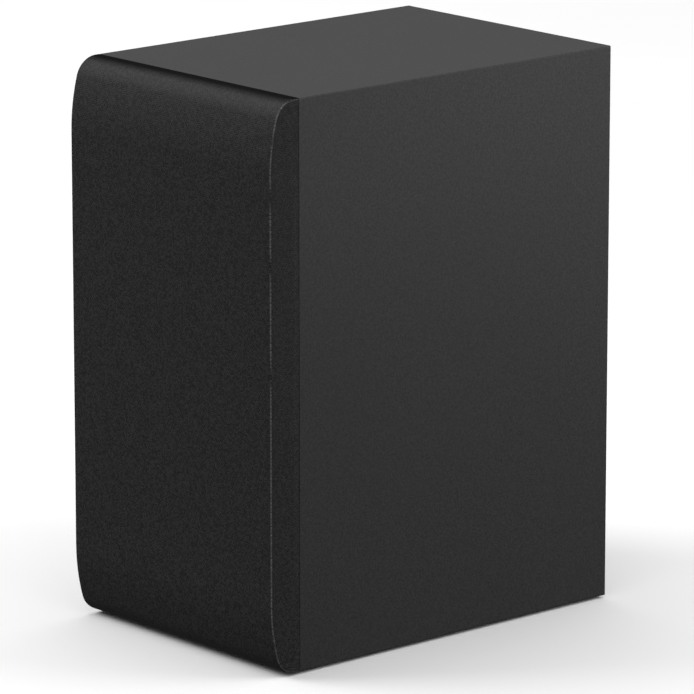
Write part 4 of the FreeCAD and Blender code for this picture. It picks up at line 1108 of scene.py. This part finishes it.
def smallPartsTree():
    t = Tree("smallBoardParts", width=70 * mm, height=22 * mm, density=22000.0, spacing=4.2 * mm, seed=4)
    field = t.node("MeshGrid", sockets={"Size X": t["width"], "Size Y": t["height"], "Vertices X": 2,
                                        "Vertices Y": 2})
    spots = t.node("DistributePointsOnFaces", {"distribute_method": "POISSON"},
                   {"Mesh": field, "Distance Min": t["spacing"], "Density Max": t["density"],
                    "Seed": t["seed"]})
    chip = t.moved(t.node("MeshCube", sockets={"Size": (2.0 * mm, 1.25 * mm, 0.6 * mm)}), (0, 0, 0.3 * mm))
    turn = t.chance(0.0, 3.99, t["seed"]).do("FLOOR") * (math.pi / 2)
    parts = t.copied(chip, spots, t.vector(z=turn), t.chance(0.6, 1.3, 9))
    return t.finish(t.placed(parts, (-math.pi / 2, 0.0, 0.0)))


partField = {"width": 70 * mm, "height": 22 * mm, "density": 60000.0, "spacing": 4.2 * mm, "seed": 4}
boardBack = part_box("main_board")[1].y
smallParts = smallPartsTree().bake("boardSmallParts", [(0, boardBack, 48 * mm)], finish=epoxy, **partField)
standIn(smallParts, "epoxy", body="cabinet")
print("board details:", len(smallParts.data.polygons), "faces")


# floor, light and camera

studio = {
    "floorSize": 30.0,
    "floorTone": 0.90,
    "farTone": 0.98,        # painted light: the floor pales with distance, making up for the lamps' fall-off
    "zenith": 1.45,
    "horizon": 0.16,
    "under": 0.10,
    "camera": (2.3851, -2.0916, 0.9161),
    "azimuth": 48.70,
    "elevation": 13.54,
    "lens": 300.6,
}
softboxes = {
    "leftBox": dict(place=(-1.3, -1.35, 1.6), aim=(0, 0, 0.2), size=(1.2, 1.2), power=26.0),
    "rearRightBox": dict(place=(0.80, 0.66, 0.42), aim=(0.085, 0.0, 0.25), size=(0.55, 0.60), power=4.8),
}


def makeFloor():
    mesh = bpy.data.meshes.new("floor")
    size = studio["floorSize"]
    corners = [(x * size, y * size, 0) for x, y in ((-1, -1), (1, -1), (1, 1), (-1, 1))]
    mesh.from_pydata(corners, [], [(0, 1, 2, 3)])
    m = Finish("pale floor", specularLevel=0.0, roughness=1.0)
    place = m.where()
    away = m.node("VectorMath", {"operation": "LENGTH"}, {0: place}, 1)
    cloud = m.fit(m.grain(place, 3.0, 2), 0.3, 0.7, -0.01, 0.01)
    # painted light: paler away from the object, where the lamps' light falls off
    tone = m.fit(away, 0.7, 1.7, studio["floorTone"], studio["farTone"]) + cloud
    m.feed(colour=m.node("CombineColor", sockets={0: tone, 1: tone, 2: tone}))
    mesh.materials.append(m.material)
    floor = addObject("floor", mesh)
    floor.visible_diffuse = False
    floor.visible_glossy = False


def makeWorld():
    # the light grows from the horizon to the zenith; the ground behind the object is white
    world = bpy.data.worlds.new("studio")
    bpy.context.scene.world = world
    world.use_nodes = True
    m = NodeMaker(world.node_tree)
    _, _, up = m.split(m.node("TexCoord"))
    ramp = m.node("ValToRGB", sockets={0: up * 0.5 + 0.5})
    stops = ((0.0, studio["under"]), (0.50, studio["under"]), (0.62, studio["horizon"]),
             (1.0, studio["zenith"]))
    elements = ramp.socket.node.color_ramp.elements
    while len(elements) < len(stops):
        elements.new(0.5)
    for stop, (at, value) in zip(elements, stops):
        stop.position, stop.color = at, grey(value)
    seenDirectly = m.node("LightPath")
    sky = m.node("Mix", {"data_type": "RGBA"}, {0: seenDirectly, 6: ramp, 7: grey(1.0)}, 2)
    m.tree.links.new(sky.socket, m.tree.nodes["Background"].inputs[0])


def aimed(name, data, place, ahead):
    holder = addObject(name, data)
    holder.location = place
    holder.rotation_mode = "QUATERNION"
    holder.rotation_quaternion = ahead.to_track_quat("-Z", "Y")
    return holder


def makeSoftbox(name, place, aim, size, power):
    lamp = bpy.data.lights.new(name, "AREA")
    lamp.shape, lamp.size, lamp.size_y, lamp.energy = "RECTANGLE", size[0], size[1], power
    aimed(name, lamp, place, Vector(aim) - Vector(place))


def makeCamera():
    lens = bpy.data.cameras.new("camera")
    lens.sensor_width, lens.lens = 36.0, studio["lens"]
    lens.clip_start, lens.clip_end = 0.05, 100.0
    a, e = math.radians(studio["azimuth"]), math.radians(studio["elevation"])
    ahead = Vector((-math.sin(a) * math.cos(e), math.cos(a) * math.cos(e), -math.sin(e)))
    bpy.context.scene.camera = aimed("camera", lens, studio["camera"], ahead)


makeFloor()
makeWorld()
for name, spec in softboxes.items():
    makeSoftbox(name, **spec)
makeCamera()
bpy.context.scene.view_settings.view_transform = "Standard"
print("studio ready")
